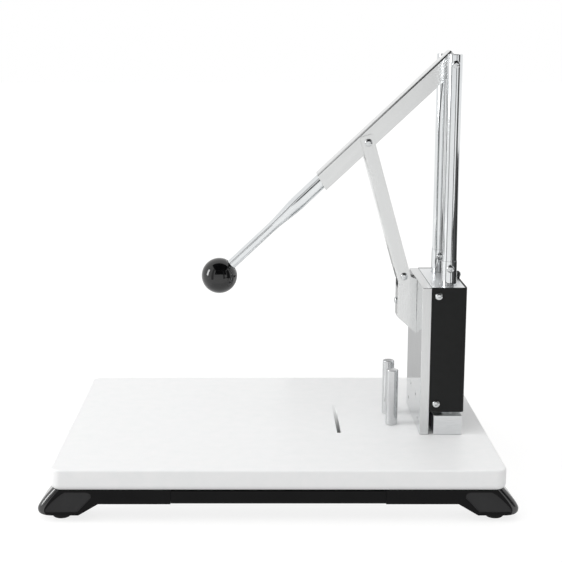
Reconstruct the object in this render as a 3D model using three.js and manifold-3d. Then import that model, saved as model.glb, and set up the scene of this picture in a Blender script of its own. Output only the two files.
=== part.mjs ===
// Hand lever press on a white cutting board: a carriage slides on two upright guide
// rods and is pulled by a lever and a link. Millimetres, +X right, +Y away, +Z up.
// The origin is on the ground, below the centre of the footprint.
import * as THREE from 'three';
import { mergeVertices } from 'three/addons/utils/BufferGeometryUtils.js';
import Module from 'manifold-3d';

const wasm = await Module();
wasm.setup();

// ---------- driving sizes ----------
const gap = 0.3; // between faces that touch
const slideGap = 0.2; // all round a guide rod

const boardWidth = 525;
const boardDepth = 400;
const boardThickness = 25;
const boardCorner = 11;
const boardTopEdge = 5;
const boardBottomEdge = 3;

const padHeight = 8;
const padRadius = 11;
const padStemRadius = 3;
const padStemHeight = 9;
const footHeight = 32; // pad top to board underside
const footDepth = 40;
const footOutreach = 17; // past the board's end
const footLength = 138.5; // inside the board's end
const footRise = 54.5; // underside leaves the beam's height here, inside the board's end
const footFloor = 31.5; // and is down to the pads here
const footNoseHeight = 6; // steepest part of the outer end, above the pads
const footSweep = 3.5; // outer end leans back this far over the foot's depth
const footPanelInner = 48; // slanted front panel, from the board's end at its upper inner corner
const footPanelOuter = 12;
const footPanelLowInner = 28;
const footPanelLowOuter = 7;
const footPanelMargin = 6;
const footScrewInset = 98.5;
const footPadInset = 9.5; // pad axis, inside the board's end
const footPanelDepth = 1;
const beamHeight = 17.7;
const beamWall = 2;
const beamEdge = 3;
const beamInset = 6; // front of the beam behind the board's edge
const tongueLength = 30;

const rodRadius = 9;
const rodSpacing = 90;
const rodInset = 50.5; // rod axis inside the board's right end
const rodTop = 466; // above the board
const rodChamfer = 1;
const pivotDrop = 12; // pivot below the rod tops

const baseBlockWidth = 35;
const baseBlockHeight = 25;
const blockEdge = 0.8; // chamfer on the block and the plate
const blockMargin = 24; // block end past the rod axis, along Y
const blockThickness = 30; // bearing blocks, along Z
const carriageLift = 4.5; // cover above the base block
const coverHeight = 156.9;
const coverWall = 1.8;
const coverCorner = 4;
const coverReach = 19.6; // rod axis to the outside of the cover's back
const coverScrewInset = 10.5; // from the cover's upper and lower edges
const coverScrewReach = 8.2; // from its open edge
const coverTabHeight = 8;
const coverTabWidth = 14;
const bushWall = 0.8;
const bushStandout = 30; // upper bush above its block
const lockScrewDrop = 8.7; // lock screw below the bush's top

const plateThickness = 11.5;
const plateOffset = 23.5; // rod axis to the back of the tool plate
const plateScrewSpacing = 50;
const toolHoleSpacing = 92;
const toolHoleHeight = 15; // above the board
const toolHoleRadius = 2.5;

const locatingPinRadius = 7.5;
const locatingPinHeight = 72;
const locatingPinSpacing = 47.4;
const locatingPinOffset = 65; // left of the rods
const grooveOffset = 134; // groove's middle, left of the rods
const grooveWidth = 5;
const grooveDepth = 11; // at its front end, rising to nothing at the rear
const grooveLength = 122;

const sheet = 1.5;
const bendRadius = 3;
const leverWidth = 30;
const leverHeight = 22.5;
const leverEdge = 9.6; // lower edge below the pivot
const leverAngle = THREE.MathUtils.degToRad(43.2); // below the horizontal
const leverTravel = THREE.MathUtils.degToRad(44);
const leverTail = 10.2; // past the pivot
const leverReach = 216; // pivot to the lower end of the channel
const leverRake = 5;
const leverArm = 137.8; // pivot to the link bolt
const leverArmDrop = 1.65; // link bolt under the pivot's line
const leverBushRadius = 6.2;
const spacerRadius = 6.5;

const handleAxis = 1.6; // over the pivot's line
const handleRadius = 9.5;
const handleNeckRadius = 6.25;
const handleTenonRadius = 7;
const handleTaperStart = 249;
const handleTaperEnd = 300;
const socketLength = 34;
const socketInset = 12; // socket and thick end, inside the channel's lower end
const knobRadius = 22.5;
const knobReach = 389;
const knobRecess = 1.5; // the handle's end sits this far inside the knob's flat
const knobFlat = 20.5; // knob middle to its flat neck
const studRadius = 4;
const insertRadius = 7;

const linkWidth = 17.6;
const linkOpenEdge = 8; // bolt line to the open edge
const linkEnd = 9.1; // past the upper bolt
const linkFoot = 8.5; // past the lower bolt
const linkWebStart = 14;
const linkWebClearance = 14.6; // web stops this far below the upper bolt
const sideGap = 0.6; // between nested channels

const bracketReach = 24; // tool plate to the bracket's web
const bracketPinReach = 16.7; // tool plate to the lower link bolt
const bracketPinHeight = 4.7; // lower link bolt above the plate's top
const bracketDrop = 69; // bracket's foot below the plate's top
const bracketStep = 45; // web's lower end below the plate's top
const bracketWebDrop = 11; // web's upper end below the plate's top
const bracketShoulder = 6; // sideways run of the curve from the plate up to the crown
const bracketBoltBite = 8; // bolt into the tool plate
const bracketBoltDrop = 29;
const bracketSpacerRadius = 5;

const screwRadius = 2.5;
const screwHeadRadius = 4.6;
const screwHeadHeight = 2.7;
const socketRadius = 1.75;
const tabScrewRadius = 2;
const tabScrewHeadRadius = 3.6;
const rodBoltRadius = 4;
const rodBoltHeadRadius = 6.5;
const rodBoltHeadHeight = 8;
const rodBoltGrip = 22; // thread inside the rod
const nutRadius = 4.6;
const nutHeight = 4;
const threadEnd = 1.2; // bolt past its nut
const footScrewBite = 14; // thread inside the board

const roundSegments = 24;
const screwSegments = 12;

// ---------- places worked out from the sizes ----------
const boardBottom = padHeight + footHeight;
const boardTop = boardBottom + boardThickness;
const boardEnd = boardWidth / 2;
const rodX = boardEnd - rodInset;
const rodY = rodSpacing / 2;
const rodLow = boardTop + gap;
const rodHigh = boardTop + rodTop;
const pivotZ = rodHigh - pivotDrop;
const blockHalf = rodY + blockMargin;
const baseBlockTop = boardTop + baseBlockHeight;
const coverLow = baseBlockTop + carriageLift;
const coverHigh = coverLow + coverHeight;
const carriageTop = coverHigh - gap;
const plateBack = rodX - plateOffset;
const plateFace = plateBack - plateThickness;
const coverFront = plateBack + gap;
const coverBack = rodX + coverReach;
const bushRadius = rodRadius + slideGap + bushWall;
const bushTop = carriageTop + bushStandout;
const lockScrewZ = bushTop - lockScrewDrop;
const screwHole = screwRadius + gap;
const upperScrewZ = coverHigh - coverScrewInset;
const lowerScrewZ = coverLow + coverScrewInset;
const coverScrewX = coverFront + coverScrewReach;
const beamEnd = boardEnd - footLength;
const beamTop = boardBottom - gap;
const beamLow = beamTop - beamHeight;
const beamY = boardDepth / 2 - beamInset - footDepth / 2;
const footScrewX = boardEnd - footScrewInset;
const padX = boardEnd - footPadInset;
const leverHalf = leverWidth / 2;
const linkHalf = leverHalf + sideGap + sheet;
const bracketHalf = leverHalf;
const linkBolt = {
  x: rodX - leverArm * Math.cos(leverAngle) + leverArmDrop * Math.sin(leverAngle),
  z: pivotZ - leverArm * Math.sin(leverAngle) - leverArmDrop * Math.cos(leverAngle),
};
const footBolt = { x: plateFace - bracketPinReach, z: carriageTop + bracketPinHeight };
const linkLength = Math.hypot(linkBolt.x - footBolt.x, linkBolt.z - footBolt.z);
const linkLean = Math.atan2(footBolt.x - linkBolt.x, linkBolt.z - footBolt.z);

// ---------- solids ----------
function solidFrom(geometry) {
  const bare = geometry.clone();
  bare.deleteAttribute('normal');
  bare.deleteAttribute('uv');
  const merged = mergeVertices(bare, 1e-4);
  const index = merged.index.array;
  const kept = [];
  for (let i = 0; i < index.length; i += 3) {
    const [a, b, c] = [index[i], index[i + 1], index[i + 2]];
    if (a !== b && b !== c && c !== a) kept.push(a, b, c);
  }
  const mesh = new wasm.Mesh({
    numProp: 3,
    vertProperties: new Float32Array(merged.attributes.position.array),
    triVerts: new Uint32Array(kept),
  });
  return new wasm.Manifold(mesh);
}

function geometryFrom(solid) {
  const mesh = solid.getMesh();
  const indexed = new THREE.BufferGeometry();
  indexed.setAttribute('position', new THREE.BufferAttribute(new Float32Array(mesh.vertProperties), 3));
  indexed.setIndex(new THREE.BufferAttribute(new Uint32Array(mesh.triVerts), 1));
  const flat = indexed.toNonIndexed();
  flat.computeVertexNormals();
  return flat;
}

function carve(blank, cutters) {
  let solid = solidFrom(blank);
  for (const cutter of cutters) solid = solid.subtract(solidFrom(cutter));
  return geometryFrom(solid);
}

function join(blanks) {
  let solid = solidFrom(blanks[0]);
  for (const blank of blanks.slice(1)) solid = solid.add(solidFrom(blank));
  return geometryFrom(solid);
}

function common(first, second) {
  return geometryFrom(solidFrom(first).intersect(solidFrom(second)));
}

// ---------- basic shapes ----------
function block(low, high) {
  const size = high.map((value, i) => value - low[i]);
  const middle = high.map((value, i) => (value + low[i]) / 2);
  return new THREE.BoxGeometry(...size).translate(...middle);
}

const upright = new THREE.Matrix4();
const alongX = new THREE.Matrix4().makeBasis(
  new THREE.Vector3(0, 1, 0), new THREE.Vector3(0, 0, 1), new THREE.Vector3(1, 0, 0));
const alongY = new THREE.Matrix4().makeBasis(
  new THREE.Vector3(1, 0, 0), new THREE.Vector3(0, 0, 1), new THREE.Vector3(0, -1, 0));
const webToLeft = new THREE.Matrix4().makeBasis(
  new THREE.Vector3(0, 1, 0), new THREE.Vector3(-1, 0, 0), new THREE.Vector3(0, 0, 1));

// A flat outline pulled out from low to high. Along Y the outline is drawn in x and z.
function slab(shape, low, high, frame = upright, curveSegments = 8) {
  const geometry = new THREE.ExtrudeGeometry(shape, { depth: high - low, bevelEnabled: false, curveSegments });
  geometry.applyMatrix4(frame);
  if (frame === alongX) return geometry.translate(low, 0, 0);
  if (frame === alongY) return geometry.translate(0, high, 0);
  return geometry.translate(0, 0, low);
}

function outline(points) {
  return new THREE.Shape(points.map(([x, y]) => new THREE.Vector2(x, y)));
}

function roundedRectangle(left, right, low, high, radius) {
  const shape = new THREE.Shape();
  const quarter = Math.PI / 2;
  shape.moveTo(left + radius, low);
  shape.absarc(right - radius, low + radius, radius, -quarter, 0, false);
  shape.absarc(right - radius, high - radius, radius, 0, quarter, false);
  shape.absarc(left + radius, high - radius, radius, quarter, 2 * quarter, false);
  shape.absarc(left + radius, low + radius, radius, 2 * quarter, 3 * quarter, false);
  return shape;
}

// A round bar between two heights, turned to lie along x or y where asked.
function bar(radius, low, high, axis = 'z', segments = screwSegments) {
  const geometry = new THREE.CylinderGeometry(radius, radius, high - low, segments);
  geometry.rotateX(Math.PI / 2).translate(0, 0, (low + high) / 2);
  if (axis === 'x') geometry.rotateY(Math.PI / 2);
  if (axis === 'y') geometry.rotateX(-Math.PI / 2);
  return geometry;
}

// A turned piece about +Z from [radius, height] points that start and end on the axis.
function turned(points, segments = roundSegments) {
  const profile = points.map(([radius, height]) => new THREE.Vector2(radius, height));
  return new THREE.LatheGeometry(profile, segments).rotateX(Math.PI / 2);
}

function tube(inner, outer, low, high, axis = 'z', segments = roundSegments) {
  const ring = [[inner, low], [outer, low], [outer, high], [inner, high], [inner, low]];
  const geometry = turned(ring, segments);
  if (axis === 'x') geometry.rotateY(Math.PI / 2);
  if (axis === 'y') geometry.rotateX(-Math.PI / 2);
  return geometry;
}

// Box with every edge cut at 45 degrees.
function chamferedBlock(low, high, chamfer) {
  const shape = roundedRectangle(low[0], high[0], low[1], high[1], chamfer);
  const geometry = new THREE.ExtrudeGeometry(shape, {
    depth: high[2] - low[2] - 2 * chamfer, bevelThickness: chamfer, bevelSize: chamfer,
    bevelOffset: -chamfer, bevelSegments: 1, curveSegments: 1,
  });
  return geometry.translate(0, 0, low[2] + chamfer);
}

// Folded U channel: two legs down from a web, rounded at both folds.
function channelSection(half, height, thickness, radius) {
  const quarter = Math.PI / 2;
  const inner = radius - thickness;
  const shape = new THREE.Shape();
  shape.moveTo(half, 0);
  shape.absarc(half - radius, height - radius, radius, 0, quarter, false);
  shape.absarc(radius - half, height - radius, radius, quarter, 2 * quarter, false);
  shape.lineTo(-half, 0);
  shape.lineTo(thickness - half, 0);
  shape.absarc(radius - half, height - radius, inner, 2 * quarter, quarter, true);
  shape.absarc(half - radius, height - radius, inner, quarter, 0, true);
  shape.lineTo(half - thickness, 0);
  return shape;
}

// ---------- fasteners, built with the head upwards and its underside at z = 0 ----------
function domedHead(radius, height) {
  const rise = height * 0.25;
  return [[radius, 0], [radius, rise], [radius * 0.8, height * 0.8], [radius * 0.5, height], [0, height]];
}

function hexSocket(radius, low, high) {
  return new THREE.CylinderGeometry(radius, radius, high - low, 6)
    .rotateX(Math.PI / 2).translate(0, 0, (low + high) / 2);
}

function buttonScrew(length, radius = screwRadius, headRadius = screwHeadRadius) {
  const height = screwHeadHeight * headRadius / screwHeadRadius;
  const body = turned([[0, -length], [radius, -length], [radius, 0], ...domedHead(headRadius, height)],
    screwSegments);
  return carve(body, [hexSocket(socketRadius * headRadius / screwHeadRadius, height * 0.4, height + 1)]);
}

function capScrew(length, radius, headRadius, headHeight) {
  const body = turned([[0, -length], [radius, -length], [radius, 0], [headRadius, 0],
    [headRadius, headHeight], [0, headHeight]], screwSegments);
  return carve(body, [hexSocket(radius, headHeight / 2, headHeight + 1)]);
}

// The flat top of a countersunk head is at z = 0.
function countersunkScrew(length) {
  const cone = screwHeadRadius - screwRadius;
  const body = turned([[0, -length], [screwRadius, -length], [screwRadius, -cone],
    [screwHeadRadius, 0], [0, 0]], screwSegments);
  return carve(body, [hexSocket(socketRadius, -cone, 1)]);
}

function hexNut(height, radius, hole) {
  const blank = new THREE.CylinderGeometry(radius, radius, height, 6).rotateX(Math.PI / 2);
  return carve(blank.translate(0, 0, height / 2), [bar(hole, -1, height + 1)]);
}

// ---------- the scene graph ----------
const press = new THREE.Group();

const looks = {
  polyethylene: [0xf1f2f2, 0.45, 0],
  moulding: [0x1c1c1d, 0.4, 0],
  rubber: [0x101010, 0.85, 0],
  chrome: [0xd9dbdd, 0.08, 1],
  steel: [0xb9bcbe, 0.3, 1],
  aluminium: [0xc4c6c8, 0.35, 1],
  bronze: [0xb08d57, 0.4, 1],
  blackPaint: [0x1a1a1b, 0.5, 0.2],
  phenolic: [0x0c0c0d, 0.12, 0],
};

function add(name, geometry, look, place = {}) {
  const [color, roughness, metalness] = looks[look];
  const mesh = new THREE.Mesh(geometry, new THREE.MeshStandardMaterial({ color, roughness, metalness }));
  mesh.name = name;
  mesh.position.set(...(place.at ?? [0, 0, 0]));
  mesh.rotation.set(...(place.turn ?? [0, 0, 0]));
  (place.parent ?? press).add(mesh);
}

const headToFront = [Math.PI / 2, 0, 0];
const headToRear = [-Math.PI / 2, 0, 0];
const headToLeft = [0, -Math.PI / 2, 0];
const headToRight = [0, Math.PI / 2, 0];
const headDown = [Math.PI, 0, 0];
const ends = [['front', -1], ['rear', 1]];
const sides = [['left', -1], ['right', 1]];

// ---------- board ----------
function filletedBoard(low, high, fillet) {
  const shape = roundedRectangle(-boardEnd, boardEnd, -boardDepth / 2, boardDepth / 2, boardCorner);
  const geometry = new THREE.ExtrudeGeometry(shape, {
    depth: high - low - 2 * fillet, bevelThickness: fillet, bevelSize: fillet,
    bevelOffset: -fillet, bevelSegments: 3, curveSegments: 6,
  });
  return geometry.translate(0, 0, low + fillet);
}

function cuttingBoard() {
  const topEdge = filletedBoard(boardBottom - 2 * boardTopEdge, boardTop, boardTopEdge);
  const bottomEdge = filletedBoard(boardBottom, boardTop + 2 * boardBottomEdge, boardBottomEdge);
  const grooveX = rodX - grooveOffset;
  const ramp = outline([[-grooveLength / 2, boardTop + 1], [-grooveLength / 2, boardTop - grooveDepth],
    [grooveLength / 2, boardTop], [grooveLength / 2, boardTop + 1]]);
  const cutters = [slab(ramp, grooveX - grooveWidth / 2, grooveX + grooveWidth / 2, alongX)];
  const below = boardBottom - 1;
  for (const [, end] of ends) {
    const seat = boardBottom + rodBoltHeadHeight + 2 * gap;
    const boltY = end * rodY;
    cutters.push(bar(rodBoltRadius + gap, below, boardTop + 1).translate(rodX, boltY, 0));
    cutters.push(bar(rodBoltHeadRadius + gap, below, seat).translate(rodX, boltY, 0));
    const pinY = end * locatingPinSpacing / 2;
    cutters.push(bar(studRadius + gap, below, boardTop + 1).translate(rodX - locatingPinOffset, pinY, 0));
    for (const [, side] of sides) {
      cutters.push(bar(screwHole, below, boardBottom + footScrewBite + gap)
        .translate(side * footScrewX, end * beamY, 0));
    }
  }
  return carve(common(topEdge, bottomEdge), cutters);
}

// ---------- beams, feet and pads ----------
function beam() {
  const half = footDepth / 2;
  const section = roundedRectangle(-half, half, beamLow, beamTop, beamEdge);
  section.holes.push(roundedRectangle(beamWall - half, half - beamWall, beamLow + beamWall,
    beamTop - beamWall, beamEdge - beamWall));
  return slab(section, -beamEnd, beamEnd, alongX, 3);
}

function footOutline(side) {
  const shape = new THREE.Shape();
  const at = (x, z) => [side * (boardEnd + x), z];
  const tip = boardEnd + footOutreach;
  shape.moveTo(side * (beamEnd + gap), beamTop);
  shape.lineTo(side * (beamEnd + gap), beamLow);
  shape.lineTo(...at(-footRise, beamLow));
  shape.lineTo(...at(-footFloor, padHeight + gap));
  shape.lineTo(...at(footOutreach - footNoseHeight, padHeight + gap));
  shape.quadraticCurveTo(side * tip, padHeight + gap, side * tip, padHeight + footNoseHeight);
  shape.quadraticCurveTo(side * tip, padHeight + 2 * footNoseHeight, ...at(-1, beamTop));
  return shape;
}

// The outer end leans inwards towards the middle of the board's depth.
function sweepOuterEnd(geometry, side, end) {
  const spots = geometry.attributes.position;
  for (let i = 0; i < spots.count; i += 1) {
    const outer = side * spots.getX(i) > boardEnd - footSweep;
    if (outer && end * spots.getY(i) < 0) spots.setX(i, spots.getX(i) - side * footSweep);
  }
  return geometry;
}

// The raised front of each foot has a shallow slanted panel on its outer face.
function footPanel(side) {
  const at = (x, z) => [side * (boardEnd + x), z];
  const high = beamTop - footPanelMargin;
  const low = padHeight + footPanelMargin;
  return outline([at(-footPanelInner, high), at(-footPanelOuter, high + 2), at(footPanelLowOuter, low),
    at(-footPanelLowInner, low)]);
}

function foot(side, end) {
  const half = footDepth / 2;
  const body = sweepOuterEnd(slab(footOutline(side), -half, half, alongY, 6), side, end);
  const slack = beamWall + gap;
  const tongueEnds = [side * (beamEnd - tongueLength), side * (beamEnd + 1)].sort((a, b) => a - b);
  const section = roundedRectangle(slack - half, half - slack, beamLow + slack, beamTop - slack,
    beamEdge - beamWall);
  const tongue = slab(section, tongueEnds[0], tongueEnds[1], alongX, 3);
  const face = end * half;
  const panelEnds = [face - end * footPanelDepth, face + end].sort((a, b) => a - b);
  const headSeat = beamLow + screwHeadHeight + gap;
  return carve(join([body, tongue]), [
    slab(footPanel(side), panelEnds[0], panelEnds[1], alongY),
    bar(padStemRadius + gap, 0, padHeight + padStemHeight + gap).translate(side * padX, 0, 0),
    bar(screwHole, beamLow - 1, beamTop + 1).translate(side * footScrewX, 0, 0),
    bar(screwHeadRadius + gap, beamLow - 1, headSeat).translate(side * footScrewX, 0, 0),
  ]);
}

function pad() {
  return turned([[0, 0], [padRadius * 0.8, 0], [padRadius, padHeight * 0.35], [padRadius, padHeight * 0.75],
    [padRadius * 0.9, padHeight], [padStemRadius, padHeight], [padStemRadius, padHeight + padStemHeight],
    [0, padHeight + padStemHeight]]);
}

// ---------- fixed column ----------
function baseBlock() {
  const blank = chamferedBlock([rodX - baseBlockWidth / 2, -blockHalf, boardTop + gap],
    [rodX + baseBlockWidth / 2, blockHalf, baseBlockTop], blockEdge);
  const bores = ends.map(([, end]) => bar(rodRadius + gap, boardTop - 1, baseBlockTop + 1, 'z', roundSegments)
    .translate(rodX, end * rodY, 0));
  return carve(blank, bores);
}

function guideRod() {
  const blank = turned([[0, rodLow], [rodRadius, rodLow], [rodRadius, rodHigh - rodChamfer],
    [rodRadius - rodChamfer, rodHigh], [0, rodHigh]]);
  return carve(blank, [
    bar(screwHole, -rodRadius - 1, rodRadius + 1, 'y').translate(0, 0, pivotZ),
    bar(rodBoltRadius + gap, rodLow - 1, rodLow + rodBoltGrip + gap),
  ]);
}

function locatingPin() {
  const top = boardTop + locatingPinHeight;
  return turned([[0, boardBottom + gap], [studRadius, boardBottom + gap], [studRadius, boardTop + gap],
    [locatingPinRadius, boardTop + gap], [locatingPinRadius, top - rodChamfer],
    [locatingPinRadius - rodChamfer, top], [0, top]]);
}

// ---------- carriage ----------
function bearingBlock(low, high, screwZ) {
  const half = blockHalf - coverWall - gap;
  const blank = block([coverFront, -half, low], [coverBack - coverWall - gap, half, high]);
  const cutters = [];
  for (const [, end] of ends) {
    cutters.push(bar(bushRadius + gap, low - 1, high + 1, 'z', roundSegments).translate(rodX, end * rodY, 0));
    cutters.push(bar(screwHole, half - 10, half + 1, 'y').rotateZ(end < 0 ? Math.PI : 0)
      .translate(coverScrewX, 0, screwZ));
    cutters.push(bar(screwHole, coverFront - 1, coverFront + 14, 'x')
      .translate(0, end * plateScrewSpacing / 2, screwZ));
  }
  return carve(blank, cutters);
}

function upperBush() {
  const ring = tube(rodRadius + slideGap, bushRadius, carriageTop - blockThickness, bushTop);
  return carve(ring, [bar(screwHole, -bushRadius - 1, 0, 'y').translate(0, 0, lockScrewZ)]);
}

function lowerBush() {
  return tube(rodRadius + slideGap, bushRadius, coverLow + gap, coverLow + gap + blockThickness);
}

function cover() {
  const shape = new THREE.Shape();
  const quarter = Math.PI / 2;
  const inside = blockHalf - coverWall;
  shape.moveTo(coverFront, -blockHalf);
  shape.absarc(coverBack - coverCorner, coverCorner - blockHalf, coverCorner, -quarter, 0, false);
  shape.absarc(coverBack - coverCorner, blockHalf - coverCorner, coverCorner, 0, quarter, false);
  shape.lineTo(coverFront, blockHalf);
  shape.lineTo(coverFront, inside);
  shape.lineTo(coverBack - coverWall, inside);
  shape.lineTo(coverBack - coverWall, -inside);
  shape.lineTo(coverFront, -inside);
  const shell = slab(shape, coverLow, coverHigh, upright, 4);
  const tab = block([coverBack - coverWall, -coverTabWidth / 2, coverHigh - 5],
    [coverBack, coverTabWidth / 2, coverHigh + coverTabHeight]);
  const cutters = [bar(tabScrewRadius + gap, coverBack - 5, coverBack + 5, 'x')
    .translate(0, 0, coverHigh + coverTabHeight / 2)];
  for (const z of [upperScrewZ, lowerScrewZ]) {
    cutters.push(bar(screwHole, -blockHalf - 1, blockHalf + 1, 'y').translate(coverScrewX, 0, z));
  }
  return carve(join([shell, tab]), cutters);
}

function toolPlate() {
  const low = [plateFace, -blockHalf, boardTop + gap];
  const blank = chamferedBlock(low, [plateBack, blockHalf, carriageTop], blockEdge);
  const cutters = [bar(screwHole, plateFace - 1, plateFace + 9, 'x')
    .translate(0, 0, carriageTop - bracketBoltDrop)];
  const cone = new THREE.CylinderGeometry(screwHole, screwHeadRadius + gap, screwHeadRadius - screwRadius,
    screwSegments).rotateZ(-Math.PI / 2).translate(plateFace + (screwHeadRadius - screwRadius) / 2, 0, 0);
  for (const [, end] of ends) {
    for (const z of [upperScrewZ, lowerScrewZ]) {
      const y = end * plateScrewSpacing / 2;
      cutters.push(bar(screwHole, plateFace - 1, plateBack + 1, 'x').translate(0, y, z));
      cutters.push(cone.clone().translate(0, y, z));
    }
    cutters.push(bar(toolHoleRadius, plateFace - 1, plateBack + 1, 'x')
      .translate(0, end * toolHoleSpacing / 2, boardTop + toolHoleHeight));
  }
  return carve(blank, cutters);
}

function bracketOutline() {
  const back = plateFace - gap;
  const left = plateFace - bracketReach;
  const crown = footBolt.x - left;
  const shape = new THREE.Shape();
  shape.moveTo(back, carriageTop - bracketDrop);
  shape.lineTo(back, carriageTop + 1);
  shape.quadraticCurveTo(back - bracketShoulder, carriageTop + 2, footBolt.x + crown, footBolt.z);
  shape.absarc(footBolt.x, footBolt.z, crown, 0, Math.PI, false);
  shape.lineTo(left, carriageTop - bracketStep);
  return shape;
}

function bracket() {
  const left = plateFace - bracketReach;
  const depth = bracketReach - gap;
  const low = carriageTop - bracketDrop;
  const high = footBolt.z + bracketReach;
  const section = channelSection(bracketHalf, depth, sheet, bendRadius);
  const folded = slab(section, low, high, webToLeft, 4).translate(plateFace - gap, 0, 0);
  const sideView = slab(bracketOutline(), -bracketHalf, bracketHalf, alongY);
  const inside = bracketHalf - sheet;
  return carve(common(folded, sideView), [
    block([left - 1, -inside, carriageTop - bracketWebDrop], [left + bendRadius, inside, high + 1]),
    bar(screwHole, left - 1, left + 5, 'x').translate(0, 0, carriageTop - bracketBoltDrop),
    bar(screwHole, -bracketHalf - 1, bracketHalf + 1, 'y').translate(footBolt.x, 0, footBolt.z),
  ]);
}

// ---------- lever, in its own frame: origin at the pivot, +x away from the knob, +z over it ----------
// The lever and the link keep constant ratios to each other, so the link bolt leaves the
// lever's own arm point between the two ends of the travel. This is where it goes.
function boltDrift(share) {
  const swung = (angle) => ({
    x: rodX - leverArm * Math.cos(angle) + leverArmDrop * Math.sin(angle),
    z: pivotZ - leverArm * Math.sin(angle) - leverArmDrop * Math.cos(angle),
  });
  const topAngle = leverAngle - leverTravel;
  const last = swung(topAngle);
  const lastLean = Math.asin((footBolt.x - last.x) / linkLength);
  const lastRise = last.z - linkLength * Math.cos(lastLean) - footBolt.z;
  const lean = linkLean + (lastLean - linkLean) * share;
  const angle = leverAngle - leverTravel * share;
  const arm = swung(angle);
  const dx = footBolt.x - linkLength * Math.sin(lean) - arm.x;
  const dz = footBolt.z + lastRise * share + linkLength * Math.cos(lean) - arm.z;
  return {
    along: dx * Math.cos(angle) + dz * Math.sin(angle),
    across: -dx * Math.sin(angle) + dz * Math.cos(angle),
  };
}

function boltSlot() {
  const hole = screwHole;
  const steps = 22;
  const drifts = Array.from({ length: steps + 1 }, (_, i) => boltDrift(i / steps));
  const along = drifts.map((drift) => drift.along);
  const across = drifts.map((drift) => drift.across);
  const middle = { x: -leverArm, z: -leverArmDrop };
  const shape = roundedRectangle(middle.x + Math.min(...along) - hole, middle.x + Math.max(...along) + hole,
    middle.z + Math.min(...across) - hole, middle.z + Math.max(...across) + hole, hole);
  return slab(shape, -leverHalf - 1, leverHalf + 1, alongY, 4);
}

function leverChannel() {
  const section = channelSection(leverHalf, leverHeight, sheet, bendRadius);
  const folded = slab(section, -leverReach, leverTail, alongX, 4).translate(0, 0, -leverEdge);
  const top = leverHeight - leverEdge;
  const rake = outline([[-leverReach - 1, -leverEdge], [-leverReach, -leverEdge],
    [leverRake - leverReach, top + 1], [-leverReach - 1, top + 1]]);
  return carve(folded, [
    slab(rake, -leverHalf - 1, leverHalf + 1, alongY),
    bar(leverBushRadius + gap, -leverHalf - 1, leverHalf + 1, 'y', roundSegments),
    boltSlot(),
  ]);
}

function handleSocket() {
  const half = leverHalf - sheet - gap;
  const high = leverHeight - leverEdge - sheet - gap;
  const right = socketInset - leverReach + socketLength;
  const section = roundedRectangle(-half, half, -leverEdge, high, bendRadius - sheet);
  const blank = slab(section, socketInset - leverReach, right, alongX, 3);
  const bore = bar(handleTenonRadius + gap, -leverReach, right + 1, 'x', roundSegments);
  return carve(blank, [bore.translate(0, 0, handleAxis)]);
}

// Turned about its own axis, from the tenon (reach 0 at the pivot) out to the knob.
function handleRod() {
  const shoulder = leverReach - socketInset + gap;
  const neck = knobReach - knobFlat + knobRecess;
  const points = [[0, shoulder - socketLength], [handleTenonRadius, shoulder - socketLength],
    [handleTenonRadius, shoulder], [handleRadius, shoulder], [handleRadius, handleTaperStart],
    [handleNeckRadius, handleTaperEnd], [handleNeckRadius, neck], [studRadius, neck],
    [studRadius, knobReach - 2], [0, knobReach - 2]];
  return turned(points);
}

function knob() {
  const ball = new THREE.SphereGeometry(knobRadius, roundSegments, roundSegments / 2);
  const over = knobRadius + 1;
  const flat = block([-over, -over, -over], [over, over, -knobFlat]);
  return carve(ball, [flat, bar(insertRadius + gap, -knobRadius, 1, 'z', roundSegments)]);
}

function knobInsert() {
  return tube(studRadius + gap, insertRadius, 2 - knobFlat, 1 - gap);
}

// ---------- link, in its own frame: origin at the lower bolt, +z towards the upper one ----------
function link() {
  const webSide = linkOpenEdge - linkWidth;
  const high = linkLength + linkEnd;
  const section = channelSection(linkHalf, linkWidth, sheet, bendRadius);
  const folded = slab(section, -linkFoot, high, webToLeft, 4).translate(linkOpenEdge, 0, 0);
  const sideView = new THREE.Shape();
  sideView.moveTo(linkOpenEdge, high);
  sideView.lineTo(webSide, high);
  sideView.lineTo(webSide, 0);
  sideView.quadraticCurveTo(webSide, -linkFoot, webSide / 4, -linkFoot);
  sideView.quadraticCurveTo(linkOpenEdge, -linkFoot, linkOpenEdge, 0);
  const inside = linkHalf - sheet;
  const webCut = webSide + bendRadius;
  return carve(common(folded, slab(sideView, -linkHalf, linkHalf, alongY)), [
    block([webSide - 1, -inside, -linkFoot - 1], [webCut, inside, linkWebStart]),
    block([webSide - 1, -inside, linkLength - linkWebClearance], [webCut, inside, high + 1]),
    bar(screwHole, -linkHalf - 1, linkHalf + 1, 'y'),
    bar(screwHole, -linkHalf - 1, linkHalf + 1, 'y').translate(0, 0, linkLength),
  ]);
}

// ---------- assembly ----------
function addBase() {
  add('cutting_board', cuttingBoard(), 'polyethylene');
  for (const [endName, end] of ends) {
    add(`${endName}_beam`, beam(), 'moulding', { at: [0, end * beamY, 0] });
    for (const [sideName, side] of sides) {
      const y = end * beamY;
      add(`${endName}_${sideName}_foot`, foot(side, end), 'moulding', { at: [0, y, 0] });
      add(`${endName}_${sideName}_pad`, pad(), 'rubber', { at: [side * padX, y, 0] });
      const seat = beamLow + screwHeadHeight;
      add(`${endName}_${sideName}_foot_screw`, buttonScrew(boardBottom + footScrewBite - seat), 'steel',
        { at: [side * footScrewX, y, seat], turn: headDown });
    }
    add(`locating_pin_${endName}`, locatingPin(), 'steel',
      { at: [rodX - locatingPinOffset, end * locatingPinSpacing / 2, 0] });
  }
}

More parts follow.
